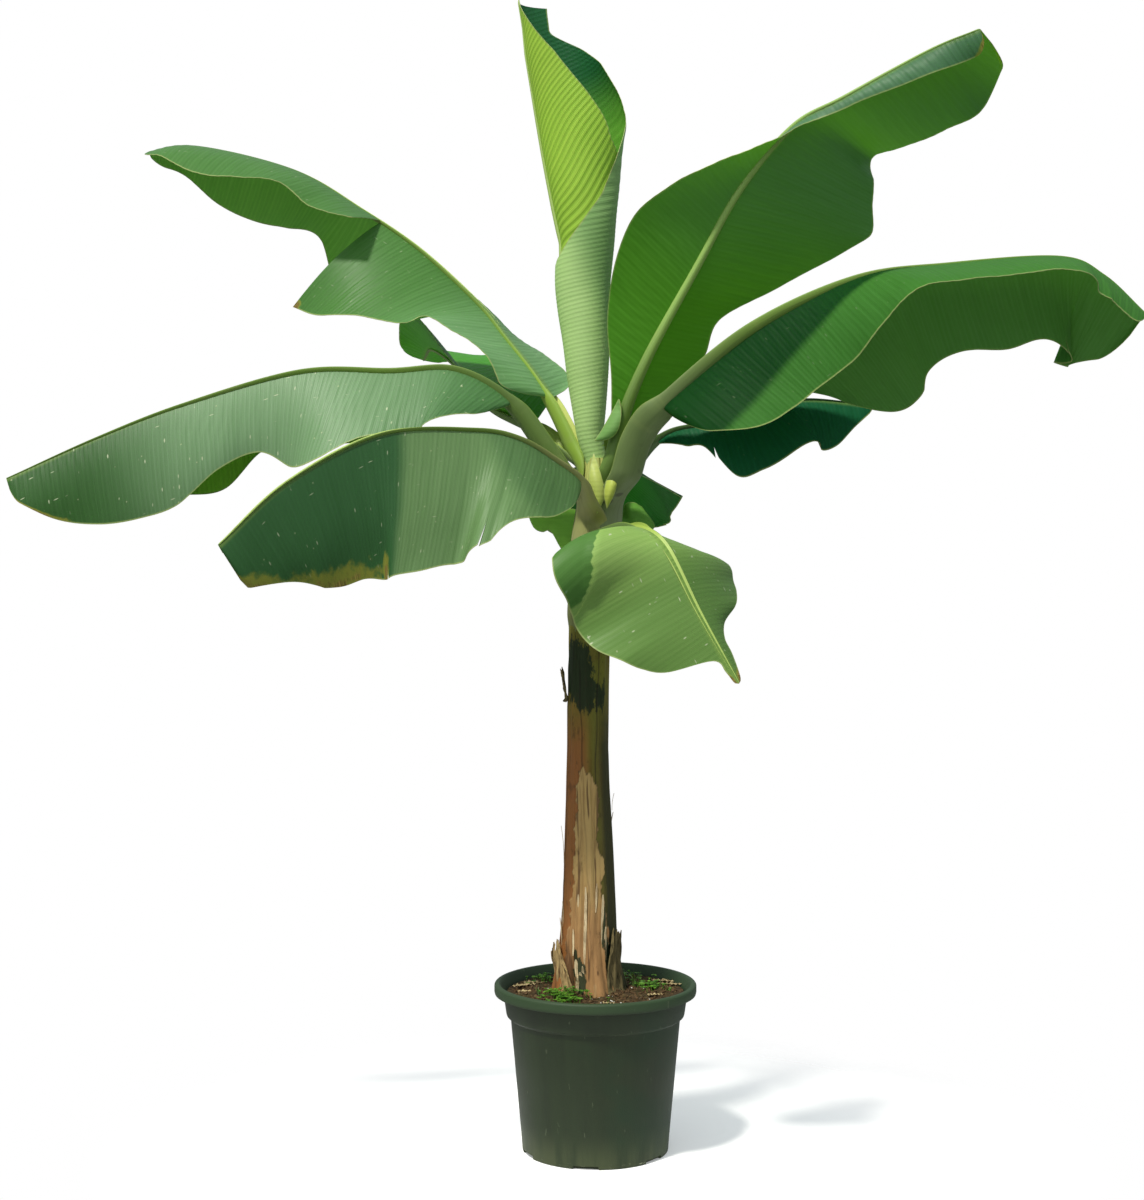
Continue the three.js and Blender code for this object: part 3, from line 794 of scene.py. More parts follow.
def grid_faces(rows: int, columns: int, first: int = 0, closed: bool = False) -> Array:
    """Quads of a grid of points that is stored row by row.

    Args:
        rows, columns: Size of the grid in points.
        first: Number of its first point.
        closed: Whether each row is a ring.

    Returns:
        The quads, facing the side on which rows and columns turn to the left.
    """
    i, j = np.meshgrid(np.arange(rows - 1), np.arange(columns if closed else columns - 1), indexing="ij")
    k = (j + 1) % columns
    quads = np.stack([i * columns + j, i * columns + k, (i + 1) * columns + k, (i + 1) * columns + j], -1)
    return quads.reshape(-1, 4) + first


def tube_faces(rows: int, columns: int) -> list[list[int]]:
    """Quads of a tube that is stored ring by ring, with one face at each end.

    Args:
        rows, columns: Number of its rings, and of the points of each.

    Returns:
        The faces.
    """
    faces = grid_faces(rows, columns, closed=True).tolist()
    faces.append(list(range(columns))[::-1])
    faces.append([(rows - 1) * columns + k for k in range(columns)])
    return faces


def apply_modifier(piece: Piece, kind: str, **settings: Any) -> None:
    """Adds one modifier with its settings and applies it."""
    activate(piece)
    modifier = piece.modifiers.new(kind.lower(), kind)
    for key, value in settings.items():
        setattr(modifier, key, value)
    bpy.ops.object.modifier_apply(modifier=modifier.name)


def thicken(piece: Piece, thickness: float) -> None:
    """Gives a sheet its thickness, with the under side and the rim as its second and third finish."""
    for _ in range(3):
        piece.data.materials.append(None)
    apply_modifier(piece, "SOLIDIFY", thickness=thickness, offset=0.0, use_even_offset=False,
                   material_offset=1, material_offset_rim=2)


def face_outward() -> None:
    """Turns every face of the closed piece in edit mode outward, and leaves that mode."""
    bpy.ops.mesh.select_all(action="SELECT")
    bpy.ops.mesh.normals_make_consistent(inside=False)
    bpy.ops.object.mode_set(mode="OBJECT")


def turned(name: str, outline: Sequence[tuple[float, float]], segments: int) -> Piece:
    """Turns an outline about the Z axis, ring by ring, into a closed body.

    Args:
        name: Name of the piece.
        outline: Radius and height of each ring, from the middle of the underside.
        segments: Sides of each ring.

    Returns:
        The piece.
    """
    deselect()
    radius, height = outline[0]
    bpy.ops.mesh.primitive_circle_add(vertices=segments, radius=radius, fill_type="NGON",
                                      location=(0, 0, height))
    piece = bpy.context.object
    piece.name = piece.data.name = name
    bpy.ops.object.transform_apply(location=True)
    bpy.ops.object.mode_set(mode="EDIT")
    bpy.ops.mesh.select_all(action="SELECT")
    for (radius, height), (wider, higher) in zip(outline, outline[1:]):
        bpy.ops.mesh.extrude_region_move(TRANSFORM_OT_translate={"value": (0, 0, higher - height)})
        share = wider / radius
        bpy.ops.transform.resize(value=(share, share, 1), center_override=(0, 0, higher))
    face_outward()
    return piece


def reshape(piece: Piece, rule: Callable[[Array], Array]) -> None:
    """Moves every point of a piece by a rule from places to places."""
    places = np.zeros(len(piece.data.vertices) * 3)
    piece.data.vertices.foreach_get("co", places)
    places = rule(places.reshape(-1, 3))
    piece.data.vertices.foreach_set("co", places.ravel())
    piece.data.update()


def materials_of(finishes: dict[str, Any]) -> list[Material]:
    """Materials of some finishes, which are given by the materials' names."""
    return [finish.material(name) for name, finish in finishes.items()]


def settle(piece: Piece, materials: Sequence[Material],
           nodes: Sequence[str] = (), angle: float = 40.0) -> None:
    """Shades a finished piece, dresses it and says what it rides on and stands for.

    Args:
        piece: The piece.
        materials: Its materials.
        nodes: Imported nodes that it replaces.
        angle: Edges sharper than this many degrees stay sharp.
    """
    activate(piece)
    bpy.ops.object.shade_smooth_by_angle(angle=math.radians(angle))
    for _ in range(len(piece.data.materials), len(materials)):
        piece.data.materials.append(None)
    for place, material in enumerate(materials):
        piece.data.materials[place] = material
    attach(piece, BODY)
    if nodes:
        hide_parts(*nodes)
    piece.select_set(False)
    stands_for = ", ".join(nodes) or "nothing"
    log.info("%s: %d faces, stands for %s", piece.name, len(piece.data.polygons), stands_for)


# ------------------------------------------------------------------ pot and compost
@dataclass
class Pot:
    """The nursery pot: tapered body, band, rolled lip and drainage notches."""

    height: float = 0.316
    rim: float = 0.190
    lip_height: float = 0.021
    band_height: float = 0.041
    band_top: float = 0.173
    band_foot: float = 0.1675
    body_top: float = 0.160
    body_foot: float = 0.1375
    wall: float = 0.005
    floor: float = 0.006
    segments: int = 144
    notch_width: float = 0.047
    notch_height: float = 0.007
    notch_count: int = 6
    first_notch: float = -98.0
    foot_round: float = 0.003
    lip_round: float = 0.005
    wobble: float = 0.0007
    finish: PotFinish = PotFinish()

    def outline(self) -> list[tuple[float, float]]:
        """Radius and height of each ring, out from the underside, over the lip and down inside."""
        lip_foot = self.height - self.lip_height
        band_foot = lip_foot - self.band_height
        wall = self.wall
        small, large = self.foot_round, self.lip_round
        foot = [(self.body_foot - small * (1 - math.sin(a)), small * (1 - math.cos(a)))
                for a in np.linspace(0, math.pi / 2, 5)]
        rolled = [(self.rim - large + large * math.cos(a), self.height - large + large * math.sin(a))
                  for a in np.linspace(0, math.pi / 2, 6)]
        return [
            (self.body_foot - 0.03, 0.0), *foot,
            (self.body_foot + 0.002, 0.03),
            (self.body_top - 0.0015, band_foot - 0.012),
            (self.body_top, band_foot - 0.003),
            (self.body_top + 0.0025, band_foot - 0.0005),
            (self.band_foot - 0.001, band_foot + 0.002),
            (self.band_foot, band_foot + 0.005),
            (self.band_top - 0.001, lip_foot - 0.006),
            (self.band_top, lip_foot - 0.001),
            (self.rim - 0.005, lip_foot + 0.0005),
            (self.rim - 0.001, lip_foot + 0.002),
            (self.rim, lip_foot + 0.006),
            *rolled,
            (self.rim - 0.009, self.height),
            (self.rim - 0.0115, self.height - 0.002),
            (self.rim - 0.014, self.height - 0.008),
            (self.band_top - wall, lip_foot),
            (self.band_foot - wall, band_foot + 0.007),
            (self.body_top - wall, band_foot - 0.002),
            (self.body_foot - wall, self.floor),
        ]

    def build(self) -> None:
        """Builds the pot."""
        pot = turned("pot_shell", self.outline(), self.segments)
        for k in range(self.notch_count):
            turn = math.radians(self.first_notch + 360 * k / self.notch_count)
            deselect()
            bpy.ops.mesh.primitive_cube_add(
                size=1, scale=(4 * self.wall, self.notch_width, 2 * self.notch_height),
                location=(self.body_foot * math.cos(turn), self.body_foot * math.sin(turn), 0),
                rotation=(0, 0, turn))
            cutter = bpy.context.object
            apply_modifier(cutter, "BEVEL", width=0.002, segments=2)
            apply_modifier(pot, "BOOLEAN", operation="DIFFERENCE", solver="EXACT", object=cutter)
            bpy.data.objects.remove(cutter)
        wobble = Waves(5, 0.30)
        reshape(pot, lambda p: p + self.wobble * wobble.at(p[:, :1], p[:, 2:] + p[:, 1:2]) * p * [3, 3, 0])
        settle(pot, [self.finish.material("pot_plastic")], ["pot"], 35)


@dataclass
class Compost:
    """The compost with a mound round the stem, and what grows and lies on it.

    A patch is the middle and the spread of a place where small things gather, a tuft is the foot of
    some blades of grass, their number and height, and a scrap is the middle of a dead leaf and its
    length. All are in metres.
    """

    level: float = 0.300
    crown: float = 0.303
    radius: float = 0.1665
    stem_clearance: float = 0.066
    litter_reach: float = 0.155
    rings: int = 44
    segments: int = 132
    bed: float = 0.262
    seed: int = 12
    crumbs: int = 900
    perlite: int = 60
    sprigs: int = 240
    anywhere: tuple = ((0, 0, 0.09),)
    perlite_patches: tuple = ((0.03, -0.09, 0.03), (0.0, 0.0, 0.1))
    clover_patches: tuple = ((-0.062, -0.082, 0.018), (-0.04, -0.095, 0.02), (-0.075, -0.06, 0.016),
                             (0.098, 0.01, 0.016), (0.06, 0.10, 0.03), (-0.09, 0.08, 0.02))
    tufts: tuple = ((0.074, 0.0, 4, 0.055), (0.078, 0.006, 3, 0.03), (0.12, 0.03, 3, 0.02),
                    (-0.02, 0.11, 4, 0.035), (-0.11, -0.04, 3, 0.018))
    scraps: tuple = ((-0.135, 0.03, 0.05), (-0.118, 0.055, 0.04), (-0.13, -0.01, 0.035),
                     (0.145, 0.05, 0.04), (0.13, 0.075, 0.045), (0.11, -0.06, 0.03),
                     (0.02, -0.115, 0.03), (0.03, 0.13, 0.05), (-0.06, 0.12, 0.045))
    hills: Waves = field(default_factory=lambda: Waves(21, 0.055, 8))
    lumps: Waves = field(default_factory=lambda: Waves(22, 0.012, 10))

    def height_at(self, x: Array | float, y: Array | float) -> Array | float:
        """Height of the compost at a place."""
        reach = np.hypot(x, y)
        mound = self.level - 0.002 + (self.crown - self.level + 0.004) * smooth(reach, 0.15, 0.06)
        rise = 0.003 * self.hills.at(x, y) + 0.0011 * self.lumps.at(x, y)
        return mound + rise * smooth(reach, self.radius, 0.13) + 0.0006 * self.lumps.at(y, x)

    def build(self) -> None:
        """Builds the compost and its litter."""
        outline = [(self.radius - 0.012, self.bed), (self.radius - 0.0035, self.bed + 0.002)]
        outline += [(self.radius * (1 - k / self.rings), self.level) for k in range(self.rings)]
        soil = turned("compost", outline, self.segments)

        def bumpy(places: Array) -> Array:
            """Lifts the top rings to the compost's height."""
            top = places[:, 2] > self.level - 0.001
            places[top, 2] = self.height_at(places[top, 0], places[top, 1])
            return places

        reshape(soil, bumpy)
        settle(soil, [SoilFinish().material("compost_mix")], ["soil"], 60)
        self._strew(random.Random(self.seed))

    def _strew(self, draw: random.Random) -> None:
        """Strews bark, perlite, clover, grass and scraps of leaf, each kind as one piece."""
        bark = [self._chip(draw, self._spot(draw, self.anywhere), draw.uniform(0.002, 0.0065), 0.5)
                for _ in range(self.crumbs)]
        self._lay("bark_crumbs", bark, DryFinish(paint(96, 74, 48), paint(40, 28, 18)))
        grit = [self._chip(draw, self._spot(draw, self.perlite_patches), draw.uniform(0.0012, 0.0026), 1.0)
                for _ in range(self.perlite)]
        self._lay("perlite", grit, PlainFinish(paint(232, 230, 220), paint(206, 200, 186)))
        sprigs = [self._clover(draw, self._spot(draw, self.clover_patches)) for _ in range(self.sprigs)]
        green = PlainFinish(paint(104, 152, 44), paint(60, 108, 30), 0.55, paint(170, 215, 80))
        self._lay("clover", sum(sprigs, []), green, thin=True)
        grass = [self._blade(draw, x, y, tall * draw.uniform(0.5, 1.0))
                 for x, y, count, tall in self.tufts for _ in range(count)]
        dull = PlainFinish(paint(62, 92, 40), paint(86, 104, 50), 0.55)
        self._lay("grass_shoots", grass, dull, thin=True)
        scraps = [self._scrap(draw, *spot) for spot in self.scraps]
        self._lay("leaf_scraps", scraps, DryFinish(paint(180, 164, 122), paint(110, 84, 52)), thin=True)

    def _spot(self, draw: random.Random, patches: Sequence[Patch]) -> tuple[float, float]:
        """A place in one of the patches, clear of stem and wall."""
        while True:
            x, y, reach = draw.choice(patches)
            x, y = x + draw.gauss(0, reach), y + draw.gauss(0, reach)
            if self.stem_clearance < math.hypot(x + 0.01, y) and math.hypot(x, y) < self.litter_reach:
                return x, y

    def _lay(self, name: str, shapes: Sequence[Shape], finish: Any, thin: bool = False) -> None:
        """Joins small things into one piece.

        Args:
            name: Name of the piece.
            shapes: Points and quads of each thing.
            finish: The finish they share.
            thin: Whether they are sheets, which still need their thickness.
        """
        faces, first = [], 0
        for places, quads in shapes:
            faces += (quads + first).tolist()
            first += len(places)
        piece = mesh_piece(name, np.concatenate([places for places, _ in shapes]), faces)
        if thin:
            apply_modifier(piece, "SOLIDIFY", thickness=0.0005, offset=0.0)
        settle(piece, [finish.material(name + "_finish")], (), 30)

    def _chip(self, draw: random.Random, spot: tuple[float, float], size: float, even: float) -> Shape:
        """An uneven block of bark or grit, half sunk.

        Args:
            draw: Source of chance.
            spot: Where it lies.
            size: Its length.
            even: Least share of the length that its other sides have.

        Returns:
            Its points and quads.
        """
        square = ((-1, -1), (1, -1), (1, 1), (-1, 1))
        corners = np.array([(a, b, c) for c in (-1, 1) for a, b in square], float)
        corners *= [size / 2, size / 2 * draw.uniform(even, 1), size / 2 * draw.uniform(0.5 * even, 0.8)]
        corners *= 1 + 0.3 * np.array([[draw.uniform(-1, 1) for _ in range(3)] for _ in range(8)])
        turn, tip = draw.uniform(0, TAU), draw.gauss(0, 0.35)
        corners = corners @ rotation(turn, tip)
        quads = [(3, 2, 1, 0), (4, 5, 6, 7), (0, 1, 5, 4), (1, 2, 6, 5), (2, 3, 7, 6), (3, 0, 4, 7)]
        return corners + [*spot, self.height_at(*spot) + size * 0.12], np.array(quads)

    def _clover(self, draw: random.Random, spot: tuple[float, float]) -> list[Shape]:
        """A sprig of three rounded leaflets on a short stalk."""
        rise = draw.uniform(0.004, 0.014)
        size = draw.uniform(0.0028, 0.0055)
        turn, tip = draw.uniform(0, TAU), draw.gauss(0, 0.4)
        outline = [(0, 0, 0), (0.55, -0.5, 0.12), (1.1, -0.45, 0.1), (1.25, 0, 0), (1.1, 0.45, 0.1),
                   (0.55, 0.5, 0.12)]
        leaflet = np.array(outline, float) * size
        quads = np.array([(0, 1, 2, 3), (0, 3, 4, 5)])
        middle = np.array([*spot, self.height_at(*spot) + rise])
        sprig = [(leaflet @ rotation(turn + k * TAU / 3, tip) + middle, quads) for k in range(3)]
        thin = 0.0004
        foot = middle - [draw.gauss(0, 0.002), draw.gauss(0, 0.002), rise + 0.002]
        half = np.array([thin, 0, 0])
        stalk = np.array([foot - half, foot + half, middle + half, middle - half])
        return [*sprig, (stalk, np.array([(0, 1, 2, 3)]))]

    def _blade(self, draw: random.Random, x: float, y: float, tall: float) -> Shape:
        """One arching blade of grass from a place on the compost."""
        steps, wide = 7, 0.0022
        heading, lean = draw.uniform(0, TAU), draw.uniform(0.1, 0.6)
        foot = np.array([x + draw.gauss(0, 0.003), y + draw.gauss(0, 0.003), 0])
        foot[2] = self.height_at(foot[0], foot[1]) - 0.002
        out = np.array([math.cos(heading), math.sin(heading), 0])
        side = np.array([-math.sin(heading), math.cos(heading), 0])
        rows = []
        for k in range(steps + 1):
            v = k / steps
            middle = foot + out * lean * tall * v * v + np.array([0, 0, tall * (v - 0.25 * lean * v * v)])
            half = side * wide * (1 - v) ** 0.6
            rows += [middle - half, middle + half]
        return np.array(rows), grid_faces(steps + 1, 2)

    def _scrap(self, draw: random.Random, x: float, y: float, long: float) -> Shape:
        """A curled scrap of dead leaf that lies on the compost."""
        rows, columns = 12, 6
        heading, curl = draw.uniform(-0.6, 0.6), draw.uniform(0.5, 1.1)
        v, t = np.meshgrid(np.linspace(-0.5, 0.5, rows), np.linspace(-1, 1, columns), indexing="ij")
        half = long * 0.16 * (1.15 - 4 * v * v) * (1 + 0.25 * np.sin(17 * v + 9 * x))
        rise = half * 0.9 * (1 - np.cos(curl * t)) + 0.12 * long * v * v + 0.0015 * np.sin(31 * v + 2 * t)
        points = np.stack([v * long, half * np.sin(curl * t), rise], -1).reshape(-1, 3)
        points = points @ rotation(heading, 0.0)
        return points + [x, y, self.height_at(x, y) + 0.0025], grid_faces(rows, columns)


# ------------------------------------------------------------------ pseudostem
@dataclass(frozen=True)
class SheathScrap:
    """A scrap of dead sheath that stands off the stem; heights in metres, angles in degrees."""

    name: str
    low: float
    high: float
    start: float
    stop: float
    lean: float
    thick: float
    ragged: float
    curl: float = 0.0
    taper: float = 0.45


@dataclass(frozen=True)
class SheathEdge:
    """A sheath whose edge lies on the next one, in degrees round the stem and in metres.

    It reaches a half-angle to both sides of its middle, which grows for each metre below its top.
    """

    middle: float
    half: float
    growth: float
    top: float
    thick: float


@dataclass(frozen=True)
class BlotchAndShadow:
    """A blackened patch, partly painted shadow in the large front ones: its middle and its half sizes, in
    degrees and metres, and its strength.
    """

    angle: float
    level: float
    wide: float
    tall: float
    strength: float


@dataclass(frozen=True)
class Splinter:
    """A narrow strip that peels off: its place in degrees and metres, its length and its width."""

    angle: float
    level: float
    long: float
    wide: float


@dataclass
class Pseudostem:
    """The stem of packed leaf sheaths, with the dry ones peeling off its lower half.

    Each row of the profile is a height, the sideways place of the middle and the radius, in millimetres.
    """

    profile: tuple = (
        (296, -10, 64), (303, -10, 62), (325, -11, 58), (350, -13, 55), (390, -13, 52), (470, -11, 48),
        (560, -12, 45), (700, -14, 40), (760, -14, 38), (870, -14, 38), (960, -13, 39), (1040, -9, 40),
        (1110, -5, 42), (1160, 2, 43), (1205, 7, 40), (1260, 6, 33), (1300, 4, 25),
    )
    rows: int = 280
    columns: int = 200
    panel_top: float = 0.717
    scraps: tuple[SheathScrap, ...] = (
        SheathScrap("sheath_stump", 0.300, 0.396, 160, 243, 0.010, 0.0035, 0.020, 0.004),
        SheathScrap("sheath_flap", 0.300, 0.422, -60, 8, 0.007, 0.0030, 0.016, 0.0),
        SheathScrap("sheath_tag", 0.845, 0.905, 160, 203, 0.008, 0.0022, 0.012, 0.0),
    )
    edges: tuple[SheathEdge, ...] = (
        SheathEdge(180, 62, 60, 0.93, 0.0018), SheathEdge(20, 75, 50, 1.02, 0.0016),
        SheathEdge(285, 50, 70, 1.10, 0.0013), SheathEdge(110, 70, 40, 0.86, 0.0016),
    )
    blotches_and_shadow: tuple[BlotchAndShadow, ...] = (
        # The first three patches, dark at the front near 0.86 to 0.9 m, are partly painted shadow.
        BlotchAndShadow(228, 0.905, 58, 0.060, 1.3), BlotchAndShadow(258, 0.868, 40, 0.045, 1.2),
        BlotchAndShadow(302, 0.860, 30, 0.050, 0.66), BlotchAndShadow(275, 1.19, 20, 0.02, 0.8),
        BlotchAndShadow(250, 0.335, 14, 0.036, 1.4), BlotchAndShadow(243, 0.372, 7, 0.02, 1.2),
        BlotchAndShadow(299, 0.43, 5, 0.05, 1.1), BlotchAndShadow(308, 0.37, 7, 0.04, 1.2),
        BlotchAndShadow(60, 0.8, 50, 0.06, 0.6), BlotchAndShadow(120, 1.02, 30, 0.05, 0.7),
        BlotchAndShadow(0, 0.7, 24, 0.12, 0.5), BlotchAndShadow(330, 0.36, 26, 0.05, 0.8),
    )
    front_splinters: tuple[Splinter, ...] = (
        Splinter(262, 0.43, 0.15, 0.0050), Splinter(246, 0.46, 0.06, 0.004),
        Splinter(297, 0.44, 0.10, 0.005), Splinter(303, 0.395, 0.07, 0.005),
        Splinter(238, 0.40, 0.05, 0.004), Splinter(247, 0.352, 0.035, 0.007),
        Splinter(254, 0.332, 0.030, 0.008), Splinter(249, 0.322, 0.026, 0.007),
        Splinter(259, 0.345, 0.028, 0.005),
    )
    more_splinters: int = 9
    seed: int = 31

    def at(self, height: Array | float) -> tuple[Array, Array]:
        """Sideways place of the middle and radius, in metres, at heights in metres."""
        table = np.array(self.profile) * MM
        near = np.asarray(height, float)
        shifts = np.linspace(-0.012, 0.012, 5)
        middle, radius = (np.mean([np.interp(near + s, table[:, 0], line) for s in shifts], 0)
                          for line in table.T[1:])
        return middle, radius

    def panel(self, turn: Array, height: Array) -> Array:
        """Share in which a place is on the tan front panel: 0 or 1, with a narrow step between.

        Args:
            turn: Angle round the stem in degrees, 270 at the front.
            height: Height in metres.

        Returns:
            The share.
        """
        drop = np.clip((self.panel_top - height) / 0.41, 0, 1)
        ragged = 3.0 * np.sin(height * 90) + 2.0 * np.sin(height * 233 + 1) + 1.5 * np.sin(height * 471)
        left = 243 - 30 * drop**1.2 + ragged
        right = 290 + 34 * drop**1.8 - 0.7 * ragged - 5 * np.sin(height * 55)
        top = self.panel_top + 0.004 * np.sin(turn * 0.35) + 0.006 * np.sin(turn * 0.13)
        inside = smooth(turn, left - 1.2, left + 1.2) * smooth(turn, right + 1.2, right - 1.2)
        return inside * smooth(height, top + 0.0015, top - 0.0015)

    def build(self) -> None:
        """Builds the stem, its scraps and its splinters."""
        rows = np.linspace(self.profile[0][0] * MM, self.profile[-1][0] * MM, self.rows)
        turns = np.linspace(90, 450, self.columns, endpoint=False)
        height, turn = (g.ravel() for g in np.meshgrid(rows, turns, indexing="ij"))
        middle, radius = self.at(height)
        relief, seam = self._relief(turn, height)
        angle = np.radians(turn)
        reach = radius + relief
        points = np.stack([middle + reach * np.cos(angle), reach * np.sin(angle), height], -1)
        left, right = (np.cos(angle - math.radians(side)) for side in (205, -20))
        numbers = {
            "panel": self.panel(turn, height),
            "seam": seam,
            "rust": smooth(left, 0.1, 0.8),
            # Painted shade down the right side of the stem.
            "painted_side_shade": smooth(right, 0.3, 0.95),
            "blotch_and_shadow": self._blotch_and_shadow(turn, height),
        }
        stem = mesh_piece("pseudostem_sheaths", points, tube_faces(self.rows, self.columns), numbers)
        settle(stem, [StemFinish().material("stem_sheath")], ["pseudostem"], 60)
        dry = DryFinish().material("dry_sheath")
        gloomy = DryFinish(pale=paint(112, 100, 66), dark=paint(48, 44, 26)).material("dry_sheath_shaded")
        for number, scrap in enumerate(self.scraps):
            self._scrap(scrap, number, gloomy if number else dry)
        self._splinter()

    def _relief(self, turn: Array, height: Array) -> tuple[Array, Array]:
        """Relief of the stem and the dark seams where one sheath's edge lies on the next.

        Args:
            turn: Angle round the stem in degrees.
            height: Height in metres.

        Returns:
            Height of the relief in metres, and the share of dark seam.
        """
        relief = 0.0022 * self.panel(turn, height)
        seam = np.zeros_like(relief)
        for sheath in self.edges:
            spread = sheath.half + sheath.growth * np.clip(sheath.top - height, 0, 1)
            spread = spread + 1.5 * np.sin(height * 60 + sheath.middle)
            off = np.abs(turn_between(turn, sheath.middle))
            fade = smooth(height, sheath.top + 0.004, sheath.top - 0.03)
            relief += sheath.thick * smooth(off, spread + 1.5, spread - 1.5) * fade
            seam = np.maximum(seam, np.exp(-(((off - spread) / 1.3) ** 2)) * fade)
        edge = self.panel(turn, height)
        seam = np.maximum(seam * (1 - 0.6 * edge), 4 * edge * (1 - edge))
        x, y = np.cos(np.radians(turn)), np.sin(np.radians(turn))
        fibre = Waves(41, 0.16, 9).at(x + 0.05 * height, y - 0.04 * height)
        coarse = Waves(42, 0.55, 6).at(x + 0.9 * height, y - 0.7 * height)
        foot = smooth(height, 0.42, 0.30)
        buttress = 0.006 * foot * np.sin(np.radians(turn * 4 + 40)) + 0.004 * foot * coarse
        relief += 0.0009 * fibre * (0.5 + 0.8 * edge) + 0.0012 * coarse + buttress
        return relief - 0.0022, seam

    def _blotch_and_shadow(self, turn: Array, height: Array) -> Array:
        """Share in which a place lies in one of the blackened patches, which at the front are partly painted
        shadow.

        Args:
            turn: Angle round the stem in degrees.
            height: Height in metres.

        Returns:
            The share, above 1 in the blackest ones.
        """
        total = np.zeros_like(height)
        for patch in self.blotches_and_shadow:
            off = turn_between(turn, patch.angle) / patch.wide
            near = np.exp(-(off**2) - ((height - patch.level) / patch.tall) ** 2)
            total = np.maximum(total, patch.strength * near)
        return total

    def _scrap(self, scrap: SheathScrap, number: int, finish: Material) -> None:
        """Builds one scrap of dead sheath.

        Args:
            scrap: Its sizes.
            number: Its place among the scraps, which seeds its ragged edge.
            finish: Its material.
        """
        rows, columns = 34, 40
        v, share = np.meshgrid(np.linspace(0, 1, rows), np.linspace(-1, 1, columns), indexing="ij")
        ragged = Waves(60 + number, 0.35, 7).at(share, share * 0 + 0.3)
        fine = Waves(70 + number, 0.09, 7).at(share, share * 0)
        top = scrap.high - scrap.ragged * (0.5 + 0.5 * ragged) - 0.25 * scrap.ragged * fine
        top -= scrap.ragged * smooth(np.abs(share), 0.6, 1.0)
        height = scrap.low + (top - scrap.low) * v
        middle, radius = self.at(height)
        half = (scrap.stop - scrap.start) / 2 * (1 - scrap.taper * v * v)
        angle = np.radians((scrap.start + scrap.stop) / 2 + half * share)
        lift = 0.003 + scrap.lean * v**1.4 + 0.0016 * Waves(80 + number, 0.5).at(share, v)
        lift += scrap.curl * np.abs(share) ** 3 * v + 0.004 * smooth(v, 0.12, 0.0)
        reach = radius + lift
        points = np.stack([middle + reach * np.cos(angle), reach * np.sin(angle), height], -1)
        piece = mesh_piece(scrap.name + "_torn", points, grid_faces(rows, columns))
        apply_modifier(piece, "SOLIDIFY", thickness=scrap.thick * 0.6, offset=0.0)
        settle(piece, [finish], [scrap.name], 50)

    def _splinter(self) -> None:
        """Builds the narrow splinters that peel off the tan panel."""
        draw = random.Random(self.seed)
        points, faces, rows = [], [], 16
        more = [Splinter(draw.uniform(150, 400), draw.uniform(0.34, 0.66), draw.uniform(0.03, 0.09),
                         draw.uniform(0.0015, 0.0035)) for _ in range(self.more_splinters)]
        v = np.linspace(-0.5, 0.5, rows)
        for strip in (*self.front_splinters, *more):
            height = strip.level + v * strip.long
            middle, radius = self.at(height)
            reach = radius + (0.0022 + 0.007 * (v + 0.5) ** 2 * draw.uniform(0.4, 1.2))
            turn = math.radians(strip.angle) + draw.uniform(-0.05, 0.05) * v
            half = strip.wide / 2 * np.sqrt(np.clip(1 - (1.9 * v) ** 2, 0.02, 1)) / radius
            edges = [np.stack([middle + reach * np.cos(edge), reach * np.sin(edge), height], -1)
                     for edge in (turn - half, turn + half)]
            faces += grid_faces(rows, 2, 2 * rows * len(points)).tolist()
            points.append(np.stack(edges, 1).reshape(-1, 3))
        piece = mesh_piece("sheath_splinters", np.concatenate(points), faces)
        apply_modifier(piece, "SOLIDIFY", thickness=0.0008, offset=0.0)
        bleached = DryFinish(paint(216, 196, 156), paint(150, 122, 86))
        settle(piece, [bleached.material("bleached_sheath")], (), 50)


# ------------------------------------------------------------------ open leaves
NARROWEST_WAVY = 0.012
RIPPLE_LENGTH = 0.019


class Side(Enum):
    """The two halves of a blade, seen from above with the tip ahead."""

    LEFT = -1
    RIGHT = 1


@dataclass(frozen=True)
class Half:
    """One half of a blade at evenly spaced stations, in millimetres and degrees.

    The width is that of the half; root and edge are how far it droops there.
    """

    width: tuple[float, ...]
    root: tuple[float, ...]
    edge: tuple[float, ...]
    begins: float = 0.0
    ends: float = 1.0


@dataclass(frozen=True)
class Tear:
    """A tear from the margin along the veins: place along the blade, depth and how the flap lies."""

    side: Side
    place: float
    depth: float
    lift: float = 0.0
    open: float = 6.0


@dataclass(frozen=True)
class Panel:
    """A stretch of one half between two tears: its stations, its ends and the tears at them."""

    half: Half
    low: float
    high: float
    before: list[Tear]
    after: list[Tear]


@dataclass(frozen=True)
class Dry:
    """A dry patch at the margin: where along the blade it lies, how wide, and how far in it goes."""

    side: Side
    place: float
    spread: float
    depth: float
    strength: float = 1.0


@dataclass(frozen=True)
class Fold:
    """A crease across one half, from one place (along, across) to another, and how far it bends.

    The part past the crease is darkened as a painted shadow, and the crease itself is pale.
    """

    side: Side
    start: tuple[float, float]
    stop: tuple[float, float]
    angle: float
    soft: float = 0.012


@dataclass(frozen=True)
class PaintedShade:
    """A stretch of one half darkened by painted shade: the part on one side of a line from the midrib
    to the margin.

    The line is given by its places along the blade at the midrib and at the margin. With a positive
    softness the part nearer the base is darker, with a negative one the part nearer the tip.
    """

    side: Side
    at_rib: float
    at_margin: float
    soft: float
    strength: float


@dataclass(frozen=True)
class SheathFoot:
    """The sheath below a petiole: its lowest height, the way it faces and how far round it reaches."""

    low: float
    facing: float
    half: tuple[float, float] = (105.0, 62.0)
    rank: float = 1.0


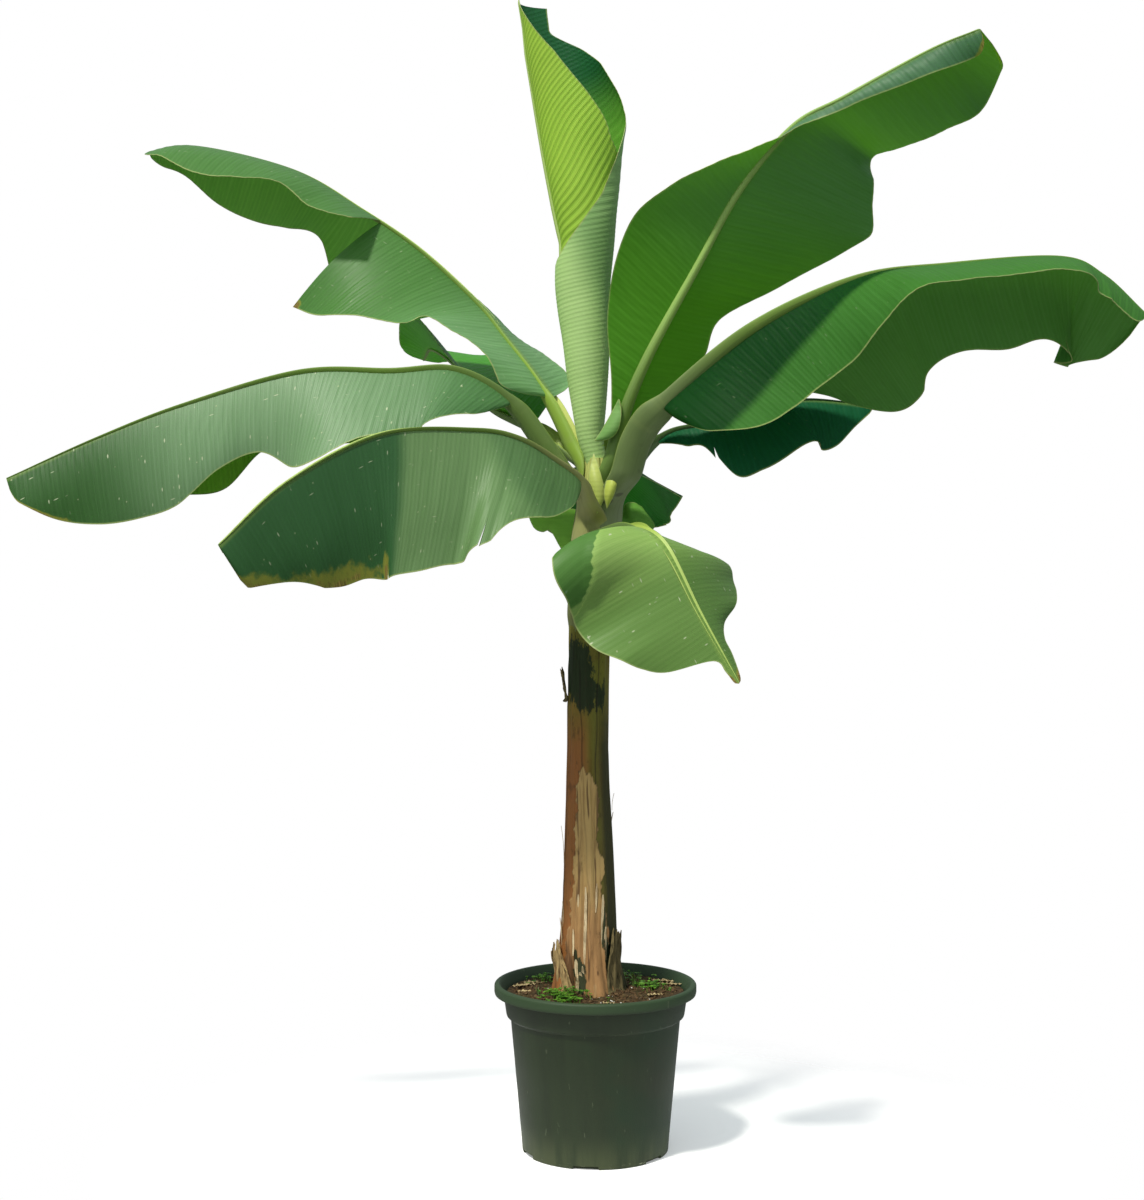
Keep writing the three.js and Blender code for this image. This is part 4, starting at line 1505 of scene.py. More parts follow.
@dataclass
class Leaf:
    """One open leaf: its blade, and its petiole with the midrib."""

    name: str
    rib: tuple[tuple[float, float, float], ...]
    start: float
    azimuth: float
    left: tuple[Half, ...]
    right: tuple[Half, ...]
    tone: LeafTone
    foot: SheathFoot
    nodes: tuple[str, ...]
    stalk: StalkFinish = StalkFinish()
    roll: tuple[float, ...] = (0, 0)
    sweep: float = 0.25
    petiole: tuple[float, float, float, float] = (23, 24, 15, 14)
    tears: tuple[Tear, ...] = ()
    dry: tuple[Dry, ...] = ()
    folds: tuple[Fold, ...] = ()
    painted_shades: tuple[PaintedShade, ...] = ()
    wave: float = 4.0
    rounding: tuple[float, float] = (0.03, 0.03)
    scratches: float = 0.4
    stripe: float = 0.26
    ripple: float = 0.0003
    thickness: float = 0.0009
    row_gap: float = 0.0038
    columns: int = 25

    def __post_init__(self) -> None:
        """Measures the midrib."""
        self._points = np.array(self.rib, float) * MM
        self._steps = np.linspace(0, 1, 401)
        places = along(self._points, self._steps)
        gaps = np.linalg.norm(np.diff(places, axis=0), axis=1)
        self._lengths = np.concatenate([[0], np.cumsum(gaps)])
        self.length = float(self._lengths[-1])
        heading = math.radians(self.azimuth)
        self._side = np.array([math.sin(heading), -math.cos(heading), 0.0])
        self._seed = sum(ord(c) for c in self.name)

    def frame(self, share: Array, blade_share: Array) -> tuple[Array, Array, Array, Array]:
        """Places and axes along the midrib.

        Args:
            share: Shares of the whole midrib with its petiole.
            blade_share: Shares of the blade, which set the roll.

        Returns:
            Places, tangents, ways across to the right, and upward normals.
        """
        step = np.interp(np.clip(share, 0, 1) * self.length, self._lengths, self._steps)
        low, high = np.clip(step - 1e-4, 0, 1), np.clip(step + 1e-4, 0, 1)
        place = along(self._points, step)
        tangent = unit(along(self._points, high) - along(self._points, low))
        across = unit(self._side - tangent * (tangent @ self._side)[:, None])
        normal = np.cross(across, tangent)
        roll = np.radians(along(self.roll, blade_share))[:, None]
        return (place, tangent, across * np.cos(roll) - normal * np.sin(roll),
                across * np.sin(roll) + normal * np.cos(roll))

    def surface(self, side: Side, half: Half, u: Array, t: Array,
                lift: Array) -> tuple[Array, Array, Array]:
        """Middle surface of one half.

        Args:
            side: Which half.
            half: Its stations.
            u: Shares along the blade, one a row.
            t: Shares from the midrib to the margin, one a column.
            lift: How far each point is lifted, as a share of the width.

        Returns:
            Points, their upward normals, and the width of each row.
        """
        place, tangent, across, normal = self.frame(self.start + (1 - self.start) * u, u)
        v = (u - half.begins) / (half.ends - half.begins)
        width = np.maximum(along(half.width, v), 3) * MM * self._rounded(u)
        root = np.radians(along(half.root, v))[:, None]
        turn = np.radians(along(half.edge, v))[:, None] - root
        turn = np.where(np.abs(turn) < 1e-4, 1e-4, turn)
        angle = root + turn * t
        out = (np.sin(angle) - np.sin(root)) / turn
        down = -(np.cos(angle) - np.cos(root)) / turn
        sign = side.value
        up = sign * across[:, None] * np.sin(angle)[..., None] + normal[:, None] * np.cos(angle)[..., None]
        w = width[:, None, None]
        points = place[:, None] + w * (sign * across[:, None] * out[..., None]
                                       - normal[:, None] * down[..., None]
                                       + tangent[:, None] * self.sweep * t[None, :, None]
                                       + up * lift[..., None])
        return points, up, width

    def _rounded(self, u: Array) -> Array:
        """Share of the width that is left where base and tip are rounded off."""
        base, tip = self.rounding
        near = np.clip(1 - u / base, 0, 1) if base else 0 * u
        far = np.clip(1 - (1 - u) / tip, 0, 1) if tip else 0 * u
        return np.sqrt(np.maximum(1 - near**2, 0.0004)) * np.sqrt(np.maximum(1 - far**2, 0.0004))

    def _panels(self, side: Side) -> list[Panel]:
        """Stretches of one half between its tears.

        Args:
            side: Which half.

        Returns:
            The stretches.
        """
        found = []
        tears = sorted((t for t in self.tears if t.side is side), key=lambda t: t.place)
        for half in self.left if side is Side.LEFT else self.right:
            cuts = [t for t in tears if half.begins < t.place < half.ends]
            places = [half.begins, *(t.place for t in cuts), half.ends]
            for k, (low, high) in enumerate(zip(places, places[1:])):
                found.append(Panel(half, low, high, cuts[k - 1:k] if k else [], cuts[k:k + 1]))
        return found

    def _grid(self, side: Side, panel: Panel) -> tuple[Array, Array, dict[str, Array]]:
        """Points, map and numbers of one stretch of a half, with its waves and ripples.

        Args:
            side: Which half.
            panel: The stretch.

        Returns:
            Points, places on the map, and numbers that the points carry.
        """
        blade_share = 1 - self.start
        count = max(4, round((panel.high - panel.low) * blade_share * self.length / self.row_gap))
        u = np.linspace(panel.low, panel.high, count + 1)
        t = np.linspace(0, 1, self.columns)
        lift, shift = self._opened(panel, u, t)
        points, up, width = self.surface(side, panel.half, u, t, lift)
        tangent = self.frame(self.start + blade_share * u, u)[1]
        x = np.repeat((u * blade_share * self.length)[:, None], len(t), 1)
        y = side.value * width[:, None] * t
        rise = self._rise(side, x, y, t) * smooth(u, 0.0, 0.03)[:, None]
        rise *= width[:, None] > NARROWEST_WAVY
        points = points + up * rise[..., None] + tangent[:, None] * shift[..., None]
        shade = np.zeros_like(x)
        for fold in self.folds:
            if fold.side is side:
                points, shade = self._folded(fold, panel.half, points, u, t)
        numbers = {"edge": (1 - t)[None, :] * width[:, None], "shade": shade, **self._marks(side, u, t)}
        if side is Side.LEFT:
            points, x, y = points[:, ::-1], x[:, ::-1], y[:, ::-1]
            numbers = {key: value[:, ::-1] for key, value in numbers.items()}
        return points, np.stack([x, y], -1), numbers

    @staticmethod
    def _opened(panel: Panel, u: Array, t: Array) -> tuple[Array, Array]:
        """How a stretch parts from its neighbours at its tears.

        Args:
            panel: The stretch.
            u, t: Shares along and across, one a row and one a column.

        Returns:
            Lift of each point, as a share of the width, and its shift along the blade in metres.
        """
        lift, shift = np.zeros((2, len(u), len(t)))
        for tear, toward in [*((x, 1) for x in panel.before), *((x, -1) for x in panel.after)]:
            past = np.clip(t - (1 - tear.depth), 0, 1)[None, :]
            near = np.exp(-np.abs(u - tear.place) / 0.035)[:, None]
            if toward > 0:
                lift += past * math.sin(math.radians(tear.lift)) * near**0.3
            shift += toward * tear.open * MM * (past / tear.depth) ** 1.3 * near
        return lift, shift

    def _rise(self, side: Side, x: Array, y: Array, t: Array) -> Array:
        """Height of the waves and ripples, which grow toward the margin.

        Args:
            side: Which half.
            x, y: Places along and across, in metres.
            t: Shares across.

        Returns:
            The height in metres.
        """
        wide = Waves(self._seed + 3 * side.value, 0.19).at(x, y)
        short = Waves(self._seed + 5 * side.value, 0.07).at(x, 0.3 * y)
        ripples = np.sin(x * TAU / RIPPLE_LENGTH + 2.2 * Waves(self._seed, 0.16).at(x, y))
        rise = self.wave * MM * (wide * 0.8 * t**1.5 + short * 0.28 * t**2.5)
        return rise + self.ripple * ripples * np.sqrt(np.clip(4 * t * (1 - 0.8 * t), 0, 1))

    def _marks(self, side: Side, u: Array, t: Array) -> dict[str, Array]:
        """Shares in which the points of a half are dry and in painted shade.

        Args:
            side: Which half.
            u, t: Shares along and across.

        Returns:
            The shares, by name.
        """
        dry, painted_shade = np.zeros((2, len(u), len(t)))
        for patch in (p for p in self.dry if p.side is side):
            near = np.exp(-(((u - patch.place) / patch.spread) ** 2))[:, None]
            dry = np.maximum(dry, patch.strength * near * smooth(t, 1 - patch.depth, 1.0)[None, :])
        for part in (p for p in self.painted_shades if p.side is side):
            line = part.at_rib + (part.at_margin - part.at_rib) * t[None, :]
            painted_shade = np.maximum(painted_shade, part.strength * smooth(u[:, None], line + part.soft, line - part.soft))
        return {"dry": dry, "painted_shade": painted_shade}

    def _folded(self, fold: Fold, half: Half, points: Array, u: Array,
                t: Array) -> tuple[Array, Array]:
        """Bends the part of a half that lies past a crease.

        Args:
            fold: The crease.
            half: Stations of the half.
            points: Points of the half.
            u, t: Their shares along and across.

        Returns:
            The bent points, and how far past the crease they are, in metres, with 0 before it.
        """
        (u0, t0), (u1, t1) = fold.start, fold.stop
        ends = self.surface(fold.side, half, np.array([u0, u1]), np.array([t0, t1]), np.zeros((2, 2)))[0]
        first, axis = ends[0, 0], unit(ends[1, 1] - ends[0, 0])
        past = (t[None, :] - t0) * (u1 - u0) - (u[:, None] - u0) * (t1 - t0)
        arm = points - first
        along_axis = (arm @ axis)[..., None] * axis
        across = arm - along_axis
        off = np.linalg.norm(across, axis=-1)
        angle = np.radians(fold.angle) * smooth(off, 0, 2 * fold.soft) * (past > 0) * fold.side.value
        swung = across * np.cos(angle)[..., None] + np.cross(axis, across) * np.sin(angle)[..., None]
        return first + along_axis + swung, off * (past > 0)

    def _build_blade(self) -> None:
        """Builds the blade."""
        points, faces, maps, first = [], [], [], 0
        numbers: dict[str, list[Array]] = {key: [] for key in ("edge", "dry", "shade", "painted_shade")}
        for side in Side:
            for panel in self._panels(side):
                grid, uv, marks = self._grid(side, panel)
                points.append(grid.reshape(-1, 3))
                maps.append(uv.reshape(-1, 2))
                for key, value in marks.items():
                    numbers[key].append(value.ravel())
                faces.append(grid_faces(*grid.shape[:2], first))
                first += len(points[-1])
        joined = {key: np.concatenate(value) for key, value in numbers.items()}
        name = f"leaf_{self.name}"
        blade = mesh_piece(f"{name}_blade", np.concatenate(points), np.concatenate(faces), joined,
                           np.concatenate(maps), 2e-5)
        thicken(blade, self.thickness)
        upper = BladeFinish(self.tone, LeafFace.UPPER, scratches=self.scratches, stripe=self.stripe)
        under = BladeFinish(self.tone, LeafFace.UNDER, scratches=0, stripe=self.stripe)
        materials = materials_of({f"{name}_upper": upper, f"{name}_under": under, f"{name}_rim": RimFinish()})
        settle(blade, materials, self.nodes, 50)

    def _build_stalk(self, stem: Pseudostem) -> None:
        """Builds the sheath's top, the petiole and the midrib as one body.

        Args:
            stem: The stem that the sheath lies on.
        """
        across, deep, flat, inside = self._section()
        shares = np.linspace(0, 1, round(self.length / 0.006))
        u = np.clip((shares - self.start) / (1 - self.start), 0, 1)
        place, _, side, normal = self.frame(shares, u)
        a, b = self._stalk_halves(shares, u)
        blend = smooth(shares, self.start - 0.02, self.start + 0.03)[:, None]
        y = deep * (1 - blend) + flat * blend
        limb = (place[:, None] + side[:, None] * (a[:, None] * across)[..., None]
                + normal[:, None] * (b[:, None] * y)[..., None])
        sheath_low, sheath = self._sheath(stem, place, across, inside)
        reach = min(0.10, 0.75 * self.start * self.length)
        hold = 1 - smooth(shares * self.length, 0.0, reach)[:, None, None]
        rings = np.concatenate([sheath_low, limb * (1 - hold) + sheath * hold])
        run = np.concatenate([rings[: len(sheath_low), 0, 2] - place[0, 2], shares * self.length])
        count = len(across)
        numbers = {
            "span": np.repeat(run - self.start * self.length, count),
            "inner": np.tile(inside, len(rings)),
        }
        wide = self.petiole[2] * MM
        uv = np.stack([np.repeat(run, count), np.tile(across * wide + inside * 0.1, len(rings))], -1)
        stalk = mesh_piece(f"leaf_{self.name}_stalk", rings, tube_faces(len(rings), count), numbers, uv)
        apply_modifier(stalk, "SUBSURF", levels=1, render_levels=1)
        activate(stalk)
        bpy.ops.object.mode_set(mode="EDIT")
        face_outward()
        finish = self.stalk.material(f"leaf_{self.name}_stalk")
        settle(stalk, [finish], [f"petiole_{self.name}"], 50)

    @staticmethod
    def _section() -> tuple[Array, Array, Array, Array]:
        """Section of a stalk: a channelled petiole and a flat-topped midrib, both as wide as -1 to 1.

        Returns:
            For each point of a ring: place across, height on the petiole, height on the midrib, and 1
            where it is on the inner face.
        """
        outer, inner = np.radians(np.linspace(160, 380, 13)), np.radians(np.linspace(371, 169, 11))
        across = np.concatenate([np.cos(outer), 0.80 * np.cos(inner)])
        deep = np.concatenate([np.sin(outer), 0.30 + 0.62 * np.sin(inner)])
        top = 0.16 - 0.22 * (1 - across[len(outer):] ** 2)
        flat = np.concatenate([np.minimum(np.sin(outer), 0.10), top])
        return across, deep, flat, np.concatenate([np.zeros(len(outer)), np.ones(len(inner))])

    def _stalk_halves(self, shares: Array, u: Array) -> tuple[Array, Array]:
        """Half-width and half-depth of the stalk along it, in metres.

        Args:
            shares: Shares of the whole midrib with its petiole.
            u: Shares of the blade, 0 below it.

        Returns:
            The half-widths and the half-depths.
        """
        low_wide, low_deep, wide, thick = (v * MM for v in self.petiole)
        v = np.clip(shares / self.start, 0, 1)
        left = 1 - u
        a = 0.0022 + (wide - 0.0022) * (0.35 * left**9 + 0.62 * left)
        b = 0.0020 + (thick - 0.0020) * (0.30 * left**9 + 0.68 * left)
        return (np.where(u > 0, a, low_wide + (wide - low_wide) * v),
                np.where(u > 0, b, low_deep + (thick - low_deep) * v))

    def _sheath(self, stem: Pseudostem, place: Array, across: Array, inside: Array) -> tuple[Array, Array]:
        """Rings of the sheath where it hugs the stem.

        Args:
            stem: The stem.
            place: Places along the midrib, from the petiole's foot.
            across: Place across of each point of a ring, from -1 to 1.
            inside: Share in which each point of a ring is on the inner face.

        Returns:
            Rings below the petiole's foot, and rings at the heights of the places.
        """
        foot = self.foot
        top = place[0, 2]
        levels = np.arange(foot.low, top, 0.008)

        def rings(height: Array) -> Array:
            """One ring round the stem at each height."""
            middle, radius = stem.at(np.minimum(height, 1.24))
            rise = np.clip((height - foot.low) / (top - foot.low), 0, 1)
            half = foot.half[0] + (foot.half[1] - foot.half[0]) * rise
            angle = np.radians(foot.facing - half[:, None] * across)
            body = 0.0042 * np.sqrt(np.clip(1.02 - across**2, 0, 1))
            lift = (0.0004 + 0.0009 * foot.rank + body * (1 - inside)) * smooth(rise, 0.0, 0.25)[:, None]
            reach = radius[:, None] - 0.0015 + lift
            level = np.repeat(height[:, None], len(across), 1)
            return np.stack([middle[:, None] + reach * np.cos(angle), reach * np.sin(angle), level], -1)

        return rings(levels), rings(place[:, 2])

    def build(self, stem: Pseudostem) -> None:
        """Builds blade and stalk."""
        self._build_blade()
        self._build_stalk(stem)


# The pale bluish upper colour is partly a painted sheen.
SUNLIT = LeafTone(paint(112, 148, 102), paint(130, 192, 56), base_tone_and_painted_light=paint(72, 114, 64),
                  old=paint(54, 90, 44), old_reach=(0.60, 0.86))
# The paler bluish colour near the base is a painted sheen.
BRIGHT = LeafTone(paint(72, 118, 54), paint(122, 194, 74), base_tone_and_painted_light=paint(110, 158, 98),
                  base_tone_reach=(0.36, 0.10))
GLOWING = LeafTone(paint(86, 128, 92), paint(72, 114, 74), paint(168, 222, 92), 0.45,
                   base_tone_under=paint(78, 142, 36), base_tone_reach=(0.60, 0.25))
# Near the base this tone is a painted shadow: dark, with a border that slants across the blade.
DEEP = LeafTone(paint(60, 112, 46), paint(92, 142, 76), paint(156, 214, 60), 0.38, base_tone_and_painted_light=paint(10, 46, 24),
                base_tone_reach=(0.62, 0.55), shadow_slant=3.3, gloss=0.06, rough=0.5)
SHADED = LeafTone(paint(68, 144, 38), paint(76, 150, 32), paint(126, 206, 50), 0.35)
BLUISH = LeafTone(paint(26, 92, 54), paint(40, 104, 52), paint(70, 160, 60), 0.25, gloss=0.06)
FADED = LeafTone(paint(18, 86, 22), paint(34, 100, 38), paint(120, 200, 50), 0.35, gloss=0.08)
# The paler colour near the base, with its crisp border, is painted sunlight and sheen.
WORN = LeafTone(paint(50, 92, 50), paint(60, 110, 36), base_tone_and_painted_light=paint(100, 136, 82), base_tone_reach=(0.42, 0.38))
PALE = LeafTone(paint(100, 138, 66), paint(56, 104, 44), base_tone_and_painted_light=paint(138, 176, 90),
                base_tone_reach=(0.16, 0.04))

LEAVES = (
    Leaf(
        "b",
        rib=((23, -30, 1220), (42, -55, 1345), (90, -80, 1473), (181, -105, 1640), (260, -130, 1780),
             (352, -150, 1888), (442, -175, 1935), (585, -205, 2009), (665, -240, 2037)),
        start=0.11, azimuth=-75,
        left=(Half(
            (20, 66, 102, 98, 170, 240, 262, 222, 180, 163, 164, 163, 86),
            (-10, -10, -10, -10, -7, -3, 0, 0, 0, 0, 0, 0, 0),
            (0, 3, 3, 3, 4, 10, 12, 7, 2, 0, 5, 15, 18),
        ),),
        right=(Half(
            (12, 46, 102, 138, 147, 116, 72, 40, 23, 25, 40, 48, 43),
            (-20, -18, -15, -13, -10, -10, 0, 40, 80, 90, 90, 88, 85),
            (-12, -16, -20, -16, -12, 3, 28, 64, 99, 123, 130, 128, 123),
        ),),
        tone=GLOWING, foot=SheathFoot(1.06, -60, (95, 55), 1.5), nodes=("blade_b",), roll=(0, 5, 5, 0, 0),
        stalk=StalkFinish(keel=paint(140, 174, 86), petiole=paint(98, 126, 58)),
        dry=(Dry(Side.LEFT, 1.0, 0.03, 0.3), Dry(Side.RIGHT, 1.0, 0.03, 0.4)), wave=3.5, scratches=0.2,
        painted_shades=(PaintedShade(Side.LEFT, 0.84, 0.88, -0.06, 0.5), PaintedShade(Side.RIGHT, 0.84, 0.88, -0.06, 0.5)),
    ),
    Leaf(
        "c",
        rib=((25, -40, 1190), (46, -64, 1266), (70, -94, 1342), (120, -130, 1404), (270, -190, 1528),
             (450, -230, 1609), (612, -250, 1630), (803, -260, 1641), (880, -265, 1608),
             (950, -270, 1542)),
        start=0.2, azimuth=-15,
        left=(Half(
            (30, 110, 188, 257, 285, 264, 205, 168, 172, 158, 196, 182, 107),
            (20, 23, 27, 30, 34, 37, 40, 41, 41, 40, 37, 34, 30),
            (41, 56, 70, 82, 89, 88, 89, 93, 95, 94, 92, 87, 79),
        ),),
        right=(Half(
            (120, 182, 186, 176, 174, 178, 190, 174, 157, 141, 120, 91, 57),
            (30, 47, 60, 62, 55, 33, 14, 12, 13, 12, 12, 12, 15),
            (70, 84, 85, 80, 67, 46, 25, 22, 23, 25, 27, 28, 30),
        ),),
        tone=DEEP, foot=SheathFoot(1.02, -42, (120, 66), 2.5), nodes=("blade_c_inner", "blade_c_outer"),
        petiole=(32, 38, 32, 38), tears=(Tear(Side.LEFT, 0.80, 0.16, 0, 1),), scratches=0.15, wave=3.0,
        stalk=StalkFinish(petiole=paint(104, 124, 70), foot=paint(128, 140, 104), spots=0.6),
    ),
    Leaf(
        "d",
        rib=((20, 0, 1190), (66, -15, 1286), (140, -50, 1352), (280, -66, 1368), (372, -64, 1406),
             (510, -60, 1396)),
        start=0.3, azimuth=-12, left=(Half((20, 40, 50, 50, 40, 30, 10), (20, 20), (60, 60)),),
        right=(Half(
            (20, 48, 50, 110, 102, 92, 98, 102, 86, 46, 8),
            (40, 44, 48, 52, 57, 60, 61, 60, 60, 60, 60), (61, 70, 77, 83, 86, 88, 90, 90, 89, 85, 81),
        ),),
        tone=BLUISH, foot=SheathFoot(1.06, -2, (80, 50), 1.8), nodes=("blade_d",),
        stalk=StalkFinish(
            petiole=paint(80, 110, 56), rib=paint(44, 96, 50), keel=paint(40, 84, 40),
            channel=paint(48, 100, 52),
        ),
        wave=3.0, scratches=0.1, rounding=(0.0, 0.03), tears=(Tear(Side.RIGHT, 0.24, 0.3, 0, 3),),
    ),
    Leaf(
        "e",
        rib=((10, -40, 1140), (40, -130, 1168), (72, -220, 1172), (117, -280, 1138), (175, -310, 1024),
             (242, -330, 903)),
        start=0.38, azimuth=-80,
        left=(Half(
            (90, 137, 172, 185, 183, 168, 146, 113, 62, 34, 27, 18, 8),
            (20, 22, 23, 25, 27, 29, 30, 31, 31, 30, 27, 24, 20),
            (37, 40, 55, 57, 58, 58, 52, 46, 55, 52, 47, 42, 41),
        ),),
        right=(Half(
            (190, 214, 206, 203, 204, 199, 187, 161, 136, 99, 20, 10, 6),
            (-20, -13, -6, 0, 4, 6, 5, 5, 5, 5, 5, 5, 5),
            (31, 31, 26, 20, 15, 12, 7, 4, 7, 10, 5, 5, 5),
        ),),
        tone=PALE, foot=SheathFoot(0.97, -84, (120, 70), 3.0), nodes=("blade_e",), sweep=0.1, wave=0.8,
        # The fold darkens the flap past its crease with a painted shadow.
        stripe=0.05, ripple=0.00006, folds=(Fold(Side.RIGHT, (0.0, 0.46), (0.29, 1.0), 8.0),),
        dry=(Dry(Side.LEFT, 1.0, 0.07, 1.0, 1.3), Dry(Side.RIGHT, 1.0, 0.07, 1.0, 1.3)), scratches=0.9,
        painted_shades=(PaintedShade(Side.LEFT, 1.2, 1.2, 0.05, 0.35),),
    ),
    Leaf(
        "f",
        rib=((10, 20, 1168), (17, 80, 1247), (32, 190, 1308), (38, 370, 1297), (50, 560, 1243),
             (60, 730, 1145)),
        start=0.24, azimuth=85,
        left=(Half((120, 185, 200, 185, 150, 90, 10), (10, 15, 20, 30, 30), (30, 40, 50, 60, 60)),),
        right=(Half(
            (160, 164, 160, 152, 110, 59, 10), (24, 26, 26, 27, 29, 30, 30),
            (36, 46, 53, 56, 59, 60, 61),
        ),),
        tone=FADED, foot=SheathFoot(1.00, 85, (110, 66), 2.6), nodes=("blade_f",), sweep=0.1,
        rounding=(0.0, 0.02),
        tears=(Tear(Side.LEFT, 0.35, 0.5, -8, 8), Tear(Side.RIGHT, 0.55, 0.45, 6, 8)), wave=5.0,
    ),
    Leaf(
        "g",
        rib=((-10, -50, 1174), (-26, -110, 1252), (-75, -160, 1294), (-140, -210, 1331),
             (-218, -250, 1344), (-372, -330, 1332), (-524, -390, 1248), (-634, -420, 1142)),
        start=0.12, azimuth=222,
        left=(Half(
            (86, 155, 196, 250, 247, 254, 250, 240, 218, 205, 172, 126, 84),
            (40, 47, 54, 60, 64, 68, 70, 71, 71, 70, 67, 64, 60),
            (59, 70, 75, 79, 86, 89, 90, 90, 90, 89, 88, 88, 89),
        ),),
        right=(
            Half((30, 110, 150, 180, 190, 170, 140, 90, 30), (30, 40, 40, 40, 40), (60, 80, 90, 90, 80)),
        ),
        tone=WORN, foot=SheathFoot(0.99, 235, (115, 60), 2.4), nodes=("blade_g_inner", "blade_g_outer"),
        stalk=StalkFinish(petiole=paint(150, 152, 92), foot=paint(176, 166, 132), spots=1.0),
        tears=(Tear(Side.LEFT, 0.235, 0.22, 4, 2.5), Tear(Side.LEFT, 0.55, 0.06, 0, 1)),
        rounding=(0.03, 0.012),
        dry=(
            Dry(Side.LEFT, 0.76, 0.20, 0.34, 0.62), Dry(Side.LEFT, 0.97, 0.06, 0.5, 0.6),
            Dry(Side.LEFT, 0.565, 0.03, 0.34, 0.8),
        ),
        painted_shades=(PaintedShade(Side.LEFT, 0.30, 0.10, 0.03, 0.55),), scratches=0.5, stripe=0.14, ripple=0.00016,
    ),
    Leaf(
        "h",
        rib=((-8, -20, 1200), (-82, -45, 1315), (-157, -60, 1411), (-257, -70, 1464), (-376, -80, 1460),
             (-540, -90, 1457), (-750, -100, 1396), (-908, -105, 1334), (-1070, -110, 1260)),
        start=0.2, azimuth=187,
        left=(Half(
            (85, 140, 165, 154, 196, 184, 135, 142, 180, 176, 155, 112, 36),
            (30, 37, 44, 50, 54, 58, 60, 61, 60, 60, 60, 60, 60),
            (59, 66, 64, 57, 68, 86, 88, 86, 89, 89, 89, 87, 85),
        ),),
        right=(Half(
            (38, 84, 124, 149, 158, 149, 136, 182, 168, 141, 111, 76, 35),
            (20, 27, 34, 40, 44, 48, 50, 51, 50, 50, 50, 50, 50),
            (60, 67, 74, 80, 84, 87, 90, 93, 92, 90, 87, 84, 80),
        ),),
        tone=SUNLIT, foot=SheathFoot(1.05, 205, (100, 56), 1.8), nodes=("blade_h_inner", "blade_h_outer"),
        petiole=(30, 32, 20, 24), scratches=0.9, dry=(Dry(Side.LEFT, 0.95, 0.08, 0.12, 0.7),), wave=3.0,
        rounding=(0.03, 0.02),
    ),
    Leaf(
        "i",
        rib=((5, 5, 1241), (-81, 45, 1416), (-169, 90, 1536), (-222, 120, 1602), (-335, 150, 1708),
             (-450, 180, 1789), (-584, 200, 1868), (-775, 215, 1917), (-875, 225, 1907)),
        start=0.165, azimuth=165,
        left=(
            Half(
                (129, 128, 154, 189, 212, 243, 248), (10, 15, 22, 28, 34, 40, 45),
                (38, 14, 21, 43, 62, 83, 95), 0.0, 0.5,
            ),
            Half(
                (109, 127, 121, 141, 145, 112, 54), (5, 5, 5, 5, 5, 5, 5), (16, 36, 26, 38, 48, 42, 28),
                0.5, 1.0,
            ),
        ),
        right=(Half(
            (91, 111, 125, 148, 173, 203, 225, 116, 129, 136, 118, 69, 23),
            (-15, -10, -5, 0, 10, 20, 30, 35, 40, 40, 40, 40, 40),
            (-36, -11, 12, 28, 42, 64, 86, 94, 90, 87, 85, 83, 80),
        ),),
        tone=BRIGHT, foot=SheathFoot(1.08, 160, (90, 50), 1.2), nodes=("blade_i_inner", "blade_i_outer"),
        sweep=0.15, wave=2.5, petiole=(26, 28, 22, 20),
        # The pale rib and channel of this stalk are partly a painted highlight.
        stalk=StalkFinish(
            rib=paint(196, 216, 118), petiole=paint(132, 164, 56), channel=paint(206, 216, 120),
        ),
        scratches=0.3, dry=(Dry(Side.LEFT, 0.495, 0.012, 0.12, 1.1),),
    ),
    Leaf(
        "j",
        rib=((-20, 15, 1265), (-94, 70, 1351), (-200, 170, 1407), (-266, 320, 1488), (-335, 480, 1543),
             (-365, 630, 1532)),
        start=0.2, azimuth=122,
        left=(Half(
            (28, 80, 124, 150, 151, 128, 91, 67, 39), (-40, -40, -40, -40, -40, -41, -40, -36, -30),
            (-48, -43, -42, -42, -42, -41, -39, -31, -19),
        ),),
        right=(Half((90, 130, 150, 160, 130, 90, 20), (-25, -25, -15, 0, 10), (-35, -30, -10, 20, 30)),),
        tone=SHADED, foot=SheathFoot(1.06, 135, (90, 52), 1.4), nodes=("blade_j",),
        petiole=(22, 28, 16, 18),
    ),
    Leaf(
        "k",
        rib=((10, 15, 1250), (50, 60, 1400), (120, 150, 1560), (210, 270, 1690), (300, 390, 1770),
             (390, 510, 1800), (470, 610, 1785)),
        start=0.2, azimuth=52,
        left=(Half((40, 95, 115, 115, 100, 60, 15), (0, 10, 20, 30, 30), (10, 30, 50, 60, 60)),),
        right=(Half((40, 95, 115, 115, 100, 60, 15), (0, 10, 20, 30, 30), (10, 30, 50, 60, 60)),),
        tone=SHADED, foot=SheathFoot(1.10, 55, (85, 50), 1.0), nodes=("blade_k",),
    ),
)


